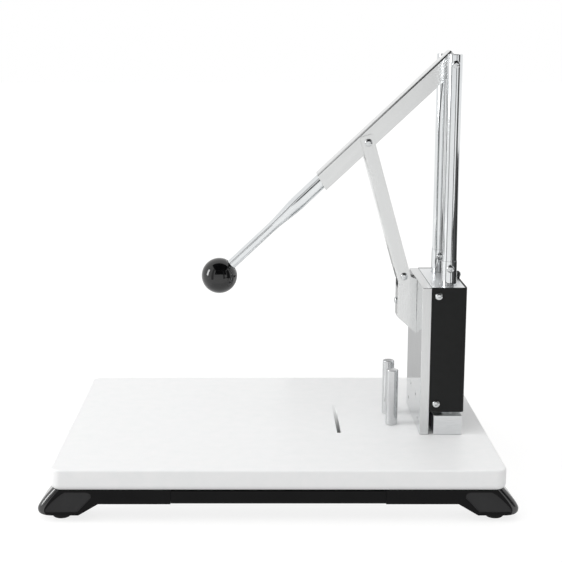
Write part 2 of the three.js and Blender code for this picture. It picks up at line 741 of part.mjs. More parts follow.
function addColumn() {
  add('base_block', baseBlock(), 'aluminium');
  const boltSeat = boardBottom + rodBoltHeadHeight + gap;
  for (const [endName, end] of ends) {
    add(`guide_rod_${endName}`, guideRod(), 'chrome', { at: [rodX, end * rodY, 0] });
    add(`rod_bolt_${endName}`, capScrew(rodLow + rodBoltGrip - boltSeat, rodBoltRadius, rodBoltHeadRadius,
      rodBoltHeadHeight), 'steel', { at: [rodX, end * rodY, boltSeat], turn: headDown });
    const low = leverHalf + gap;
    add(`pivot_spacer_${endName}`, tube(screwHole, spacerRadius, low, rodY - rodRadius - gap, 'y')
      .rotateZ(end < 0 ? Math.PI : 0), 'steel', { at: [rodX, 0, pivotZ] });
  }
  const seat = rodY + rodRadius + gap;
  add('pivot_bolt', buttonScrew(2 * seat + nutHeight + threadEnd), 'steel',
    { at: [rodX, -seat, pivotZ], turn: headToFront });
  add('pivot_nut', hexNut(nutHeight, nutRadius, screwHole), 'steel',
    { at: [rodX, seat, pivotZ], turn: headToRear });
}

function addLever() {
  const lever = new THREE.Group();
  lever.position.set(rodX, 0, pivotZ);
  lever.rotation.y = -leverAngle;
  press.add(lever);
  const alongHandle = [0, -Math.PI / 2, 0];
  add('lever_channel', leverChannel(), 'steel', { parent: lever });
  add('lever_bush', tube(screwHole, leverBushRadius, -leverHalf, leverHalf, 'y'), 'bronze', { parent: lever });
  add('handle_socket', handleSocket(), 'steel', { parent: lever });
  add('handle_rod', handleRod(), 'chrome', { parent: lever, at: [0, 0, handleAxis], turn: alongHandle });
  const ballPlace = { parent: lever, at: [-knobReach, 0, handleAxis], turn: alongHandle };
  add('knob', knob(), 'phenolic', ballPlace);
  add('knob_insert', knobInsert(), 'bronze', ballPlace);
}

function addLink() {
  const arm = new THREE.Group();
  arm.position.set(footBolt.x, 0, footBolt.z);
  arm.rotation.y = -linkLean;
  press.add(arm);
  const seat = linkHalf + gap;
  const length = 2 * seat + nutHeight + threadEnd;
  add('link', link(), 'steel', { parent: arm });
  add('link_bolt', buttonScrew(length), 'steel', { parent: arm, at: [0, -seat, linkLength], turn: headToFront });
  add('link_nut', hexNut(nutHeight, nutRadius, screwHole), 'steel',
    { parent: arm, at: [0, seat, linkLength], turn: headToRear });
}

function addCarriage() {
  add('tool_plate', toolPlate(), 'steel');
  add('upper_block', bearingBlock(carriageTop - blockThickness, carriageTop, upperScrewZ), 'aluminium');
  add('lower_block', bearingBlock(coverLow + gap, coverLow + gap + blockThickness, lowerScrewZ), 'aluminium');
  add('cover', cover(), 'blackPaint');
  for (const [endName, end] of ends) {
    const bushPlace = { at: [rodX, end * rodY, 0] };
    add(`upper_bush_${endName}`, upperBush(), 'chrome', bushPlace);
    add(`lower_bush_${endName}`, lowerBush(), 'bronze', bushPlace);
    add(`lock_screw_${endName}`, buttonScrew(bushWall + gap), 'steel',
      { at: [rodX, end * rodY - bushRadius - gap, lockScrewZ], turn: headToFront });
    for (const [levelName, z] of [['upper', upperScrewZ], ['lower', lowerScrewZ]]) {
      add(`cover_screw_${endName}_${levelName}`, buttonScrew(coverWall + 9), 'steel',
        { at: [coverScrewX, end * (blockHalf + gap), z], turn: end < 0 ? headToFront : headToRear });
      add(`plate_screw_${endName}_${levelName}`, countersunkScrew(plateThickness + 12), 'steel',
        { at: [plateFace + 0.1, end * plateScrewSpacing / 2, z], turn: headToLeft });
    }
  }
  add('cover_tab_screw', buttonScrew(coverWall + 5, tabScrewRadius, tabScrewHeadRadius), 'steel',
    { at: [coverBack + gap, 0, coverHigh + coverTabHeight / 2], turn: headToRight });
}

function addBracket() {
  const left = plateFace - bracketReach;
  const boltZ = carriageTop - bracketBoltDrop;
  add('bracket', bracket(), 'steel');
  add('bracket_spacer', tube(screwHole, bracketSpacerRadius, left + sheet + gap, plateFace - gap, 'x'),
    'steel', { at: [0, 0, boltZ] });
  const bracketBolt = buttonScrew(bracketReach + gap + bracketBoltBite);
  add('bracket_bolt', bracketBolt, 'steel', { at: [left - gap, 0, boltZ], turn: headToLeft });
  const seat = linkHalf + gap;
  add('link_foot_bolt', buttonScrew(2 * seat + nutHeight + threadEnd), 'steel',
    { at: [footBolt.x, -seat, footBolt.z], turn: headToFront });
  add('link_foot_nut', hexNut(nutHeight, nutRadius, screwHole), 'steel',
    { at: [footBolt.x, seat, footBolt.z], turn: headToRear });
}

addBase();
addColumn();
addLever();
addLink();
addCarriage();
addBracket();

export default press;
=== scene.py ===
import math

import bmesh
import bpy
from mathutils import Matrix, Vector


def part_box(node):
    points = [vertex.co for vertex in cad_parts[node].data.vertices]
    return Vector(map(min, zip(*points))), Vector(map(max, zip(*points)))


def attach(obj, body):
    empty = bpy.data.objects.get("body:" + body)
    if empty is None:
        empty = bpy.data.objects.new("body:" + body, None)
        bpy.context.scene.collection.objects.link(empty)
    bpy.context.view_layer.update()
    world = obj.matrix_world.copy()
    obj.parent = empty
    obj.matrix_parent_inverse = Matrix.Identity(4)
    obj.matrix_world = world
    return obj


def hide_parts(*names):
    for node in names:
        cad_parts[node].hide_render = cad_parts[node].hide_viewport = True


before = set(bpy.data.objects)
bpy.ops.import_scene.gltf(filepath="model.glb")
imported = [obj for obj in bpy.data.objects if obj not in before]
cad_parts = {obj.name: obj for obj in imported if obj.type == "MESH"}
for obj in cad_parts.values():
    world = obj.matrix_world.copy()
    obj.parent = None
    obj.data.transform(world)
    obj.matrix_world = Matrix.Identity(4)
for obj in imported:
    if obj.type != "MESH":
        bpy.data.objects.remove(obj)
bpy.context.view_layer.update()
mm = 0.001
print("frame loaded:", len(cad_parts), "CAD nodes")


def deselectAll():
    if bpy.context.object and bpy.context.object.mode == "EDIT":
        bpy.ops.object.mode_set(mode="OBJECT")
    bpy.ops.object.select_all(action="DESELECT")


def pick(*pieces):
    deselectAll()
    for piece in pieces:
        piece.select_set(True)
    bpy.context.view_layer.objects.active = pieces[0]
    return pieces[0]


def named(name):
    piece = bpy.context.object
    piece.name = name
    piece.data.name = name
    return piece


# Turns a piece about the origin, then moves it, and writes both into its mesh.
def settle(piece, place=(0, 0, 0), turn=(0, 0, 0), scale=(1, 1, 1)):
    pick(piece)
    piece.scale = scale
    piece.rotation_euler = [math.radians(angle) for angle in turn]
    piece.location = [value * mm for value in place]
    bpy.ops.object.transform_apply(location=True, rotation=True, scale=True)
    return piece


def editAll(piece):
    pick(piece)
    bpy.ops.object.mode_set(mode="EDIT")
    bpy.ops.mesh.select_mode(type="VERT")
    bpy.ops.mesh.select_all(action="SELECT")


# Opens edit mode with only the faces, edges or vertices that pass the test selected.
def choose(piece, kind, test):
    pick(piece)
    bpy.ops.object.mode_set(mode="EDIT")
    bpy.ops.mesh.select_mode(type={"faces": "FACE", "edges": "EDGE", "verts": "VERT"}[kind])
    bpy.ops.mesh.select_all(action="DESELECT")
    mesh = bmesh.from_edit_mesh(piece.data)
    for part in getattr(mesh, kind):
        part.select_set(bool(test(part)))
    mesh.select_flush_mode()
    bmesh.update_edit_mesh(piece.data)


def leaveEdit(piece):
    bpy.ops.object.mode_set(mode="OBJECT")
    return piece


def outwards(piece, merge=0.00001):
    editAll(piece)
    bpy.ops.mesh.remove_doubles(threshold=merge)
    bpy.ops.mesh.normals_make_consistent(inside=False)
    return leaveEdit(piece)


def boxPiece(name, low, high):
    deselectAll()
    low, high = Vector(low), Vector(high)
    bpy.ops.mesh.primitive_cube_add(size=1, location=(low + high) / 2 * mm, scale=(high - low) * mm)
    bpy.ops.object.transform_apply(location=True, rotation=True, scale=True)
    return named(name)


def roundBar(name, radius, low, high, axis="z", middle=(0, 0), sides=48):
    deselectAll()
    bpy.ops.mesh.primitive_cylinder_add(vertices=sides, radius=radius * mm, depth=(high - low) * mm)
    bar = named(name)
    along = (low + high) / 2
    if axis == "x":
        return settle(bar, (along, *middle), (0, 90, 0))
    if axis == "y":
        return settle(bar, (middle[0], along, middle[1]), (90, 0, 0))
    return settle(bar, (*middle, along))


# A line of vertices, each extruded from the one before it.
def drawLine(name, points):
    deselectAll()
    points = [Vector(point) * mm for point in points]
    bpy.ops.mesh.primitive_plane_add(size=mm, location=points[0])
    bpy.ops.object.transform_apply(location=True, rotation=True, scale=True)
    bpy.ops.object.mode_set(mode="EDIT")
    bpy.ops.mesh.select_mode(type="VERT")
    bpy.ops.mesh.select_all(action="SELECT")
    bpy.ops.mesh.merge(type="CENTER")
    for before, after in zip(points, points[1:]):
        bpy.ops.mesh.extrude_region_move(TRANSFORM_OT_translate={"value": after - before})
    bpy.ops.object.mode_set(mode="OBJECT")
    return named(name)


def arc(x, y, radius, start, end, steps=8):
    angles = [math.radians(start + (end - start) * i / steps) for i in range(steps + 1)]
    return [(x + radius * math.cos(angle), y + radius * math.sin(angle)) for angle in angles]


def curve(start, handle, end, steps=8):
    shares = [i / steps for i in range(steps + 1)]
    return [tuple((1 - t) ** 2 * a + 2 * t * (1 - t) * b + t * t * c
                  for a, b, c in zip(start, handle, end)) for t in shares]


# A flat outline filled and pulled out along one axis. Along y it is drawn in x and z.
def slab(name, outline, axis, low, high):
    toSpace = {"x": lambda a, b: (low, a, b), "y": lambda a, b: (a, low, b), "z": lambda a, b: (a, b, low)}
    direction = {"x": Vector((1, 0, 0)), "y": Vector((0, 1, 0)), "z": Vector((0, 0, 1))}[axis]
    piece = drawLine(name, [toSpace[axis](a, b) for a, b in outline])
    editAll(piece)
    bpy.ops.mesh.edge_face_add()
    bpy.ops.mesh.extrude_region_move(TRANSFORM_OT_translate={"value": direction * (high - low) * mm})
    leaveEdit(piece)
    return outwards(piece)


# A profile of (radius, height) spun about +Z.
def turned(name, profile, steps=64):
    piece = drawLine(name, [(radius, 0, height) for radius, height in profile])
    editAll(piece)
    bpy.ops.mesh.spin(steps=steps, angle=2 * math.pi, center=(0, 0, 0), axis=(0, 0, 1))
    leaveEdit(piece)
    return outwards(piece)


def applyModifier(piece, kind, settings):
    pick(piece)
    modifier = piece.modifiers.new(kind.title(), kind)
    for key, value in settings.items():
        setattr(modifier, key, value)
    bpy.ops.object.modifier_apply(modifier=modifier.name)
    return piece


def shapeWith(piece, others, operation="DIFFERENCE"):
    for other in others:
        applyModifier(piece, "BOOLEAN", {"operation": operation, "solver": "EXACT", "object": other})
    for other in others:
        bpy.data.objects.remove(other)
    return piece


def breakEdges(piece, width, segments=2, angle=35):
    return applyModifier(piece, "BEVEL", {
        "width": width * mm, "segments": segments, "limit_method": "ANGLE",
        "angle_limit": math.radians(angle), "use_clamp_overlap": True})


# Big flat faces keep their own direction, and only the small rounded edges between them blend.
def smooth(piece, angle=38):
    pick(piece)
    bpy.ops.object.shade_smooth_by_angle(angle=math.radians(angle))
    return applyModifier(piece, "WEIGHTED_NORMAL", {"keep_sharp": True, "weight": 90})


def copyOf(piece, name, place=(0, 0, 0), scale=(1, 1, 1)):
    pick(piece)
    bpy.ops.object.duplicate(linked=False)
    twin = settle(named(name), place, scale=scale)
    return outwards(twin) if min(scale) < 0 else twin


def finishPiece(piece, materials, body, nodes):
    piece.data.materials.clear()
    for material in materials if isinstance(materials, list) else [materials]:
        piece.data.materials.append(material)
    smooth(piece)
    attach(piece, body)
    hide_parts(*nodes)
    return piece


def paintFaces(piece, slotNumber, test):
    for face in piece.data.polygons:
        if test(face):
            face.material_index = slotNumber


# Lowest and highest corner of a CAD node, in millimetres.
def nodeBox(node):
    low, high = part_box(node)
    return low / mm, high / mm


def toLinear(code):
    channels = [int(code[i:i + 2], 16) / 255 for i in (1, 3, 5)]
    return [c / 12.92 if c <= 0.04045 else ((c + 0.055) / 1.055) ** 2.4 for c in channels] + [1.0]


# Adds one node. A setting is a socket, a property or a ramp's stops. A link starts at a node or a socket.
def addNode(tree, kind, settings=None, links=None):
    node = tree.nodes.new("ShaderNode" + kind)
    for key, value in (settings or {}).items():
        if key == "stops":
            for stop, (position, code) in zip(node.color_ramp.elements, value):
                stop.position, stop.color = position, toLinear(code)
        elif isinstance(key, int) or key in node.inputs:
            node.inputs[key].default_value = value
        else:
            setattr(node, key, value)
    for key, source in (links or {}).items():
        tree.links.new(getattr(source, "outputs", [source])[0], node.inputs[key])
    return node


def emptyMaterial(name):
    material = bpy.data.materials.new(name)
    material.use_nodes = True
    material.node_tree.nodes.clear()
    return material, material.node_tree


# Scale for a Mapping node that makes a pattern's blotches so many millimetres wide along x, y and z.
def blotch(*size):
    return {"Scale": [1 / (width * mm) for width in size]}


# Colour, roughness and relief that follow a fine grain and wide soft clouds. The two shares say how much
# of the grain shows in the colour and in the roughness.
def grainedSurface(name, settings, look):
    material, tree = emptyMaterial(name)
    place = addNode(tree, "TexCoord")
    turn = [math.radians(angle) for angle in look.get("turn", (0, 0, 0))]
    lined = addNode(tree, "Mapping", {"Rotation": turn}, {"Vector": place.outputs["Object"]})
    patterns = []
    for part, detail in (("grain", look.get("detail", 4.0)), ("cloud", 2.0)):
        scaled = addNode(tree, "Mapping", blotch(*look[part]), {"Vector": lined})
        patterns.append(addNode(tree, "TexNoise", {"Scale": 1.0, "Detail": detail, "Roughness": 0.55},
                                {"Vector": scaled}))
    grain, cloud = patterns
    toned = addNode(tree, "Mix", {0: look.get("inColour", 0.6)}, {2: cloud, 3: grain})
    worn = addNode(tree, "Mix", {0: look.get("inRoughness", 0.6)}, {2: cloud, 3: grain})
    colour = addNode(tree, "ValToRGB", {"stops": [(0.3, look["dark"]), (0.7, look["light"])]}, {"Fac": toned})
    low, high = look["roughness"]
    rough = addNode(tree, "MapRange", {"From Min": 0.3, "From Max": 0.7, "To Min": low, "To Max": high},
                    {"Value": worn})
    relief = addNode(tree, "Bump", {"Distance": look["relief"] * mm, "Strength": look["strength"]},
                     {"Height": grain})
    shader = addNode(tree, "BsdfPrincipled", settings,
                     {"Base Color": colour, "Roughness": rough, "Normal": relief})
    addNode(tree, "OutputMaterial", None, {"Surface": shader})
    return material


def grainedMetal(name, look):
    return grainedSurface(name, {"Metallic": 1.0}, look)


# Moulded or extruded black plastic and rubber. The tool's polish decides how glossy each face is.
def blackMoulding(name, dark, light, roughness, texture, relief, sheen=0.3):
    return grainedSurface(name, {"IOR": 1.5, "Specular IOR Level": sheen}, {
        "dark": dark, "light": light, "grain": (texture,) * 3, "cloud": (18, 18, 18), "detail": 3.0,
        "roughness": roughness, "relief": relief, "strength": 0.5, "inColour": 0, "inRoughness": 0})


# High-density polyethylene where a cutter plunged in: rougher, with painted shade that turns it grey lower
# down in the groove.
def polyethyleneGroove():
    look = {"deep": "#3c3c3c", "shallow": "#f2f3f3", "low": 55, "high": 63.5, "marks": (1.2, 0.5, 1.2),
            "relief": 0.06}
    material, tree = emptyMaterial("polyethyleneMilledPaintedShade")
    place = addNode(tree, "TexCoord")
    height = addNode(tree, "SeparateXYZ", None, {"Vector": place.outputs["Object"]})
    level = addNode(tree, "MapRange", {"From Min": look["low"] * mm, "From Max": look["high"] * mm},
                    {"Value": height.outputs["Z"]})
    # Painted shade: the colour runs from near white at the groove's top to dark grey at its deepest part.
    colour = addNode(tree, "ValToRGB", {"stops": [(0.05, look["deep"]), (0.95, look["shallow"])]},
                     {"Fac": level})
    scaled = addNode(tree, "Mapping", blotch(*look["marks"]), {"Vector": place.outputs["Object"]})
    marks = addNode(tree, "TexNoise", {"Scale": 1.0, "Detail": 3.0, "Roughness": 0.55}, {"Vector": scaled})
    rough = addNode(tree, "MapRange", {"From Min": 0.3, "From Max": 0.7, "To Min": 0.5, "To Max": 0.7},
                    {"Value": marks})
    relief = addNode(tree, "Bump", {"Distance": look["relief"] * mm, "Strength": 0.5}, {"Height": marks})
    shader = addNode(tree, "BsdfPrincipled", {"IOR": 1.54},
                     {"Base Color": colour, "Roughness": rough, "Normal": relief})
    addNode(tree, "OutputMaterial", None, {"Surface": shader})
    return material


# Black powder coat, sprayed and stoved: dull, with the soft dimples of orange peel.
def powderCoat():
    look = {"dark": "#121313", "light": "#1a1b1b", "peel": 1.4, "cloud": 9, "relief": 0.03}
    material, tree = emptyMaterial("powderCoatBlack")
    place = addNode(tree, "TexCoord")
    peel = addNode(tree, "TexVoronoi", {"feature": "SMOOTH_F1", "Scale": 1 / (look["peel"] * mm)},
                   {"Vector": place.outputs["Object"]})
    scaled = addNode(tree, "Mapping", blotch(*(look["cloud"],) * 3), {"Vector": place.outputs["Object"]})
    cloud = addNode(tree, "TexNoise", {"Scale": 1.0, "Detail": 3.0, "Roughness": 0.55}, {"Vector": scaled})
    colour = addNode(tree, "ValToRGB", {"stops": [(0.3, look["dark"]), (0.7, look["light"])]}, {"Fac": cloud})
    rough = addNode(tree, "MapRange", {"From Min": 0.3, "From Max": 0.7, "To Min": 0.5, "To Max": 0.62},
                    {"Value": cloud})
    relief = addNode(tree, "Bump", {"Distance": look["relief"] * mm, "Strength": 0.4}, {"Height": peel})
    shader = addNode(tree, "BsdfPrincipled", {"IOR": 1.5, "Specular IOR Level": 0.25},
                     {"Base Color": colour, "Roughness": rough, "Normal": relief})
    addNode(tree, "OutputMaterial", None, {"Surface": shader})
    return material


leverTurn = 43.2  # degrees, the lever's slope
linkTurn = 15.86

# High-density polyethylene, planed sheet: milky white, satin, with a faint stipple and wide soft clouds.
whiteBoard = grainedSurface("polyethylenePlanedWhite", {"IOR": 1.54}, {
    "dark": "#f6f7f7", "light": "#fafafa", "grain": (1.1, 1.1, 1.1), "cloud": (16, 16, 16), "detail": 2.0,
    "roughness": (0.4, 0.48), "relief": 0.02, "strength": 0.4, "inColour": 0, "inRoughness": 0})
groovePaintedShade = polyethyleneGroove()
# Glass-filled nylon, moulded: polished tool faces mirror the room a little, the spark-eroded panel stays
# dull and looks paler.
footSkin = blackMoulding("nylonMouldedPolished", "#0b0b0c", "#121213", (0.1, 0.18), 2.5, 0.01, 0.9)
footPanel = blackMoulding("nylonMouldedSparked", "#202021", "#29292a", (0.5, 0.6), 0.6, 0.03)
# The same nylon, extruded: near black, with a smooth soft skin. Rubber pads are duller and slightly paler.
beamSkin = blackMoulding("nylonExtrudedBlack", "#060607", "#0b0b0c", (0.28, 0.38), 3.0, 0.01, 0.12)
rubberFoot = blackMoulding("rubberMouldedBlack", "#101010", "#181818", (0.75, 0.9), 0.8, 0.05)
# Hard chrome on a ground rod: a clear mirror with hair lines that the grinding wheel left round it.
chromeRod = grainedMetal("hardChromeGround", {
    "dark": "#d3d6d8", "light": "#e3e5e6", "grain": (3, 3, 0.35), "cloud": (20, 20, 60),
    "roughness": (0.05, 0.09), "relief": 0.001, "strength": 0.15})
# Bright chrome on a turned and polished rod: a slightly softer mirror.
chromeHandle = grainedMetal("brightChromePolished", {
    "dark": "#d6d9db", "light": "#e8eaeb", "grain": (6, 0.5, 0.5), "cloud": (30, 8, 8),
    "turn": (0, leverTurn, 0), "roughness": (0.06, 0.12), "relief": 0.001, "strength": 0.15})
# Cold-rolled stainless sheet, belt brushed lengthways: soft reflections drawn out across the grain.
brushed = {"light": "#dfe0e0", "dark": "#d2d3d3", "roughness": (0.2, 0.3), "relief": 0.003, "strength": 0.3}
leverSteel = grainedMetal("stainlessBrushedLever", {
    **brushed, "dark": "#cfd0d0", "light": "#dcdddd", "grain": (30, 0.45, 0.45), "cloud": (60, 12, 12),
    "turn": (0, leverTurn, 0), "roughness": (0.16, 0.24)})
linkSteel = grainedMetal("stainlessBrushedLink", {
    **brushed, "grain": (0.45, 0.45, 30), "cloud": (10, 10, 50), "turn": (0, linkTurn, 0)})
bracketSteel = grainedMetal("stainlessBrushedBracket", {
    **brushed, "grain": (0.45, 0.45, 30), "cloud": (12, 12, 40)})
# Ground and lapped tool steel: the big face is close to a mirror, its sawn and milled edges are satin.
plateMirror = grainedMetal("toolSteelLapped", {
    "dark": "#c9cbcc", "light": "#d8dadb", "grain": (0.5, 0.5, 25), "cloud": (20, 20, 60),
    "roughness": (0.04, 0.1), "relief": 0.001, "strength": 0.2})
plateEdge = grainedMetal("toolSteelGround", {
    "dark": "#d0d1d1", "light": "#dddede", "grain": (0.5, 0.5, 18), "cloud": (6, 6, 30),
    "roughness": (0.28, 0.4), "relief": 0.004, "strength": 0.3})
# Aluminium bar, face milled: paler than the steel, with arcs of feed marks blurred to short streaks.
milledAluminium = grainedMetal("aluminiumFaceMilled", {
    "dark": "#dcdedf", "light": "#ebeced", "grain": (9, 0.7, 0.7), "cloud": (25, 10, 10),
    "roughness": (0.3, 0.42), "relief": 0.004, "strength": 0.3})
# Pins and spacers, turned from bright bar: rings round them where the tool fed along.
pinSteel = grainedMetal("steelTurnedBright", {
    "dark": "#c3c4c5", "light": "#d6d7d8", "grain": (4, 4, 0.5), "cloud": (10, 10, 30),
    "roughness": (0.14, 0.24), "relief": 0.003, "strength": 0.3})
# Stainless screws, cold forged and tumbled: bright, with the tumbling's small soft dents.
screwSteel = grainedMetal("stainlessForgedScrew", {
    "dark": "#c4c6c7", "light": "#dcdedf", "grain": (1.2, 1.2, 1.2), "cloud": (5, 5, 5),
    "roughness": (0.12, 0.22), "relief": 0.006, "strength": 0.3})
# Sintered bronze for bushes and the knob's insert: warm and dull, with fine open pores.
bearingBronze = grainedMetal("bronzeSintered", {
    "dark": "#8d6b3c", "light": "#b58f57", "grain": (0.8, 0.8, 0.8), "cloud": (5, 5, 5),
    "roughness": (0.38, 0.5), "relief": 0.01, "strength": 0.5})
blackCoat = powderCoat()
# Phenolic resin, pressed and buffed: deep black gloss with a few fine rubbing marks.
knobResin = grainedSurface("phenolicBuffedBlack", {"IOR": 1.6}, {
    "dark": "#050506", "light": "#0b0b0c", "grain": (0.8, 0.8, 6), "cloud": (12, 12, 12),
    "roughness": (0.04, 0.1), "relief": 0.004, "strength": 0.2, "inColour": 0, "inRoughness": 1})
print("materials made:", len([m for m in bpy.data.materials if m.use_nodes]))


def makeBoard():
    board = {"corner": 12.5, "topEdge": 2, "bottomEdge": 7, "cornerSteps": 12, "edgeSteps": 6}
    groove = {"x": 78, "width": 5, "depth": 11, "length": 122}
    holes = {"headRadius": 6.8, "headDepth": 8.6, "boltRadius": 4.3, "rodX": 212, "rodY": 45, "pinX": 147,
             "pinY": 23.7, "pinRadius": 4.3}
    low, high = nodeBox("cutting_board")
    piece = boxPiece("board", low, high)
    upright = lambda edge: abs(edge.verts[0].co.z - edge.verts[1].co.z) > 10 * mm
    choose(piece, "edges", upright)
    bpy.ops.mesh.bevel(offset=board["corner"] * mm, segments=board["cornerSteps"], affect="EDGES")
    leaveEdit(piece)
    for level, size in ((high.z, board["topEdge"]), (low.z, board["bottomEdge"])):
        choose(piece, "edges", lambda edge: all(abs(v.co.z - level * mm) < 0.1 * mm for v in edge.verts))
        bpy.ops.mesh.bevel(offset=size * mm, segments=board["edgeSteps"], affect="EDGES")
        leaveEdit(piece)
    half = groove["length"] / 2
    ramp = [(-half, high.z + 1), (-half, high.z - groove["depth"]), (half, high.z), (half, high.z + 1)]
    left = groove["x"] - groove["width"] / 2
    cutters = [slab("ramp", ramp, "x", left, left + groove["width"])]
    for end in (-1, 1):
        headTop = low.z + holes["headDepth"]
        spot = (holes["rodX"], end * holes["rodY"])
        cutters.append(roundBar("head", holes["headRadius"], low.z - 1, headTop, middle=spot))
        cutters.append(roundBar("bolt", holes["boltRadius"], low.z - 1, high.z + 1, middle=spot))
        pinSpot = (holes["pinX"], end * holes["pinY"])
        cutters.append(roundBar("stud", holes["pinRadius"], low.z - 1, high.z + 1, middle=pinSpot))
    shapeWith(piece, cutters)
    finishPiece(piece, [whiteBoard, groovePaintedShade], "frame", ["cutting_board"])

    def inGroove(face):
        middle = face.center / mm
        level = middle.z > low.z + 1 and middle.z < high.z - 0.1
        return level and abs(middle.x - groove["x"]) < groove["width"] and abs(middle.y) < half + 0.1
    # The faces inside the groove get the material with the painted shade.
    paintFaces(piece, 1, inGroove)


makeBoard()
print("board done")


def makeBeams():
    beam = {"edge": 3, "wall": 2, "steps": 5}
    low, high = nodeBox("front_beam")
    piece = boxPiece("beamFront", low, high)
    choose(piece, "edges", lambda edge: abs(edge.verts[0].co.x - edge.verts[1].co.x) > 50 * mm)
    bpy.ops.mesh.bevel(offset=beam["edge"] * mm, segments=beam["steps"], affect="EDGES")
    leaveEdit(piece)
    choose(piece, "faces", lambda face: abs(face.normal.x) > 0.9)
    bpy.ops.mesh.inset(thickness=beam["wall"] * mm)
    bpy.ops.mesh.bridge_edge_loops()
    leaveEdit(piece)
    outwards(piece)
    rear = copyOf(piece, "beamRear", (0, nodeBox("rear_beam")[0].y - low.y, 0))
    finishPiece(piece, beamSkin, "frame", ["front_beam"])
    finishPiece(rear, beamSkin, "frame", ["rear_beam"])


# The front left foot is drawn, and the other three are its mirror images.
def makeFeet():
    foot = {"boardEnd": 262.5, "beamEnd": 124.3, "outreach": 17, "rise": 54.5, "floor": 31.5, "nose": 6,
            "sweep": 2, "roundWidth": 12, "roundDepth": 10,
            "roundSteps": (0.3, 1, 2, 3.2, 4.6, 6.2, 8), "panelDepth": 0.9, "screwInset": 98.5,
            "screwRadius": 2.8, "headRadius": 4.9, "headDepth": 3, "padInset": 9.5, "stemRadius": 3.3,
            "stemHeight": 9.3, "slack": 2.3, "tongue": 29}
    low, high = nodeBox("front_left_foot")
    face, back = low.y, high.y
    beamLow = nodeBox("front_beam")[0].z
    end = foot["boardEnd"]
    tip = end + foot["outreach"]
    sole = low.z
    side = [(-foot["beamEnd"], high.z), (-foot["beamEnd"], beamLow), (-(end - foot["rise"]), beamLow),
            (-(end - foot["floor"]), sole), (-(tip - foot["nose"]), sole)]
    side += curve((-(tip - foot["nose"]), sole), (-tip, sole), (-tip, sole + foot["nose"]), 6)[1:]
    side += curve((-tip, sole + foot["nose"]), (-tip, sole + 2 * foot["nose"]), (-(end - 1), high.z), 12)[1:]
    piece = slab("footFrontLeft", side, "y", face, back)
    choose(piece, "verts", lambda v: v.co.x < -(end - 7) * mm and v.co.y > (back - 1) * mm)
    bpy.ops.transform.translate(value=(foot["sweep"] * mm, 0, 0))
    leaveEdit(piece)

    # The outer end rolls over into the front face through a quarter of an ellipse.
    for t in foot["roundSteps"]:
        editAll(piece)
        bpy.ops.mesh.bisect(plane_co=(0, (face + t) * mm, 0), plane_no=(0, 1, 0))
        leaveEdit(piece)
    for t in [0, *foot["roundSteps"]]:
        share = 1 - t / foot["roundDepth"]
        shift = foot["roundWidth"] * (1 - math.sqrt(1 - share * share))
        cut = (face + t) * mm
        choose(piece, "verts", lambda v: v.co.x < -(end - 7) * mm and abs(v.co.y - cut) < 0.05 * mm)
        bpy.ops.transform.translate(value=(shift * mm, 0, 0))
        leaveEdit(piece)
    outwards(piece)
    tongueLow = (-foot["beamEnd"] - 1, face + foot["slack"], beamLow + foot["slack"])
    tongueHigh = (foot["tongue"] - foot["beamEnd"], back - foot["slack"], high.z - foot["slack"])
    tongue = boxPiece("tongue", tongueLow, tongueHigh)
    breakEdges(tongue, 1, 3)
    shapeWith(piece, [tongue], "UNION")
    top, bottom = high.z - 3.5, sole + 3.5
    panel = [(-(end - 16.5), top), (-(end - 40), top)]
    panel += curve((-(end - 43), top - 0.5), (-(end - 47), top - 2), (-(end - 46.5), top - 7), 5)
    panel += [(-(end - 30), bottom), (-(end + 7), bottom)]
    panel += curve((-(end + 6), bottom + 4), (-(end - 2), top - 10), (-(end - 13), top - 2), 6)
    recess = slab("recess", panel, "y", face - 1, face + foot["panelDepth"])
    screwX = -(end - foot["screwInset"])
    padX = -(end - foot["padInset"])
    middleY = (face + back) / 2
    shapeWith(piece, [
        recess,
        roundBar("screwHole", foot["screwRadius"], beamLow - 1, high.z + 1, middle=(screwX, middleY)),
        roundBar("headSeat", foot["headRadius"], beamLow - 1, beamLow + foot["headDepth"],
                 middle=(screwX, middleY)),
        roundBar("stemHole", foot["stemRadius"], sole - 1, sole + foot["stemHeight"], middle=(padX, middleY)),
    ])
    breakEdges(piece, 0.6, 2, 40)
    twins = {"front_left_foot": piece}
    for node, scale in (("front_right_foot", (-1, 1, 1)), ("rear_left_foot", (1, -1, 1)),
                        ("rear_right_foot", (-1, -1, 1))):
        words = node.split("_")
        twins[node] = copyOf(piece, "foot" + words[0].title() + words[1].title(), scale=scale)
        if scale[0] * scale[1] > 0:
            outwards(twins[node])
    for node, twin in twins.items():
        finishPiece(twin, [beamSkin, footPanel, footSkin], "frame", [node])
        inside = abs(face) - foot["panelDepth"]
        paintFaces(twin, 1, lambda f: abs(f.normal.y) > 0.9 and abs(abs(f.center.y) - inside * mm) < 0.1 * mm)
        outer = (end - 16) * mm
        paintFaces(twin, 2, lambda f: abs(f.center.x) > outer and abs(f.normal.y) < 0.97
                   and f.normal.z > -0.5)


def makePads():
    pad = {"radius": 11, "height": 8, "stem": 3, "stemHeight": 9}
    radius, height = pad["radius"], pad["height"]
    stem, top = pad["stem"], height + pad["stemHeight"]
    profile = [(0, 0), (radius * 0.62, 0)]
    profile += curve((radius * 0.7, 0.15), (radius, 0.6), (radius, height * 0.5))
    profile += curve((radius, height * 0.72), (radius, height * 0.97), (radius * 0.9, height))[1:]
    profile += [(stem, height), (stem, top - 0.5), (stem - 0.5, top), (0, top)]
    first = turned("padModel", profile, 48)
    for row in ("front", "rear"):
        for hand in ("left", "right"):
            node = f"{row}_{hand}_pad"
            low, high = nodeBox(node)
            twin = copyOf(first, "pad" + row.title() + hand.title(),
                          ((low.x + high.x) / 2, (low.y + high.y) / 2, 0))
            finishPiece(twin, rubberFoot, "frame", [node])
    bpy.data.objects.remove(first)


makeBeams()
makeFeet()
makePads()
print("beams, feet and pads done")


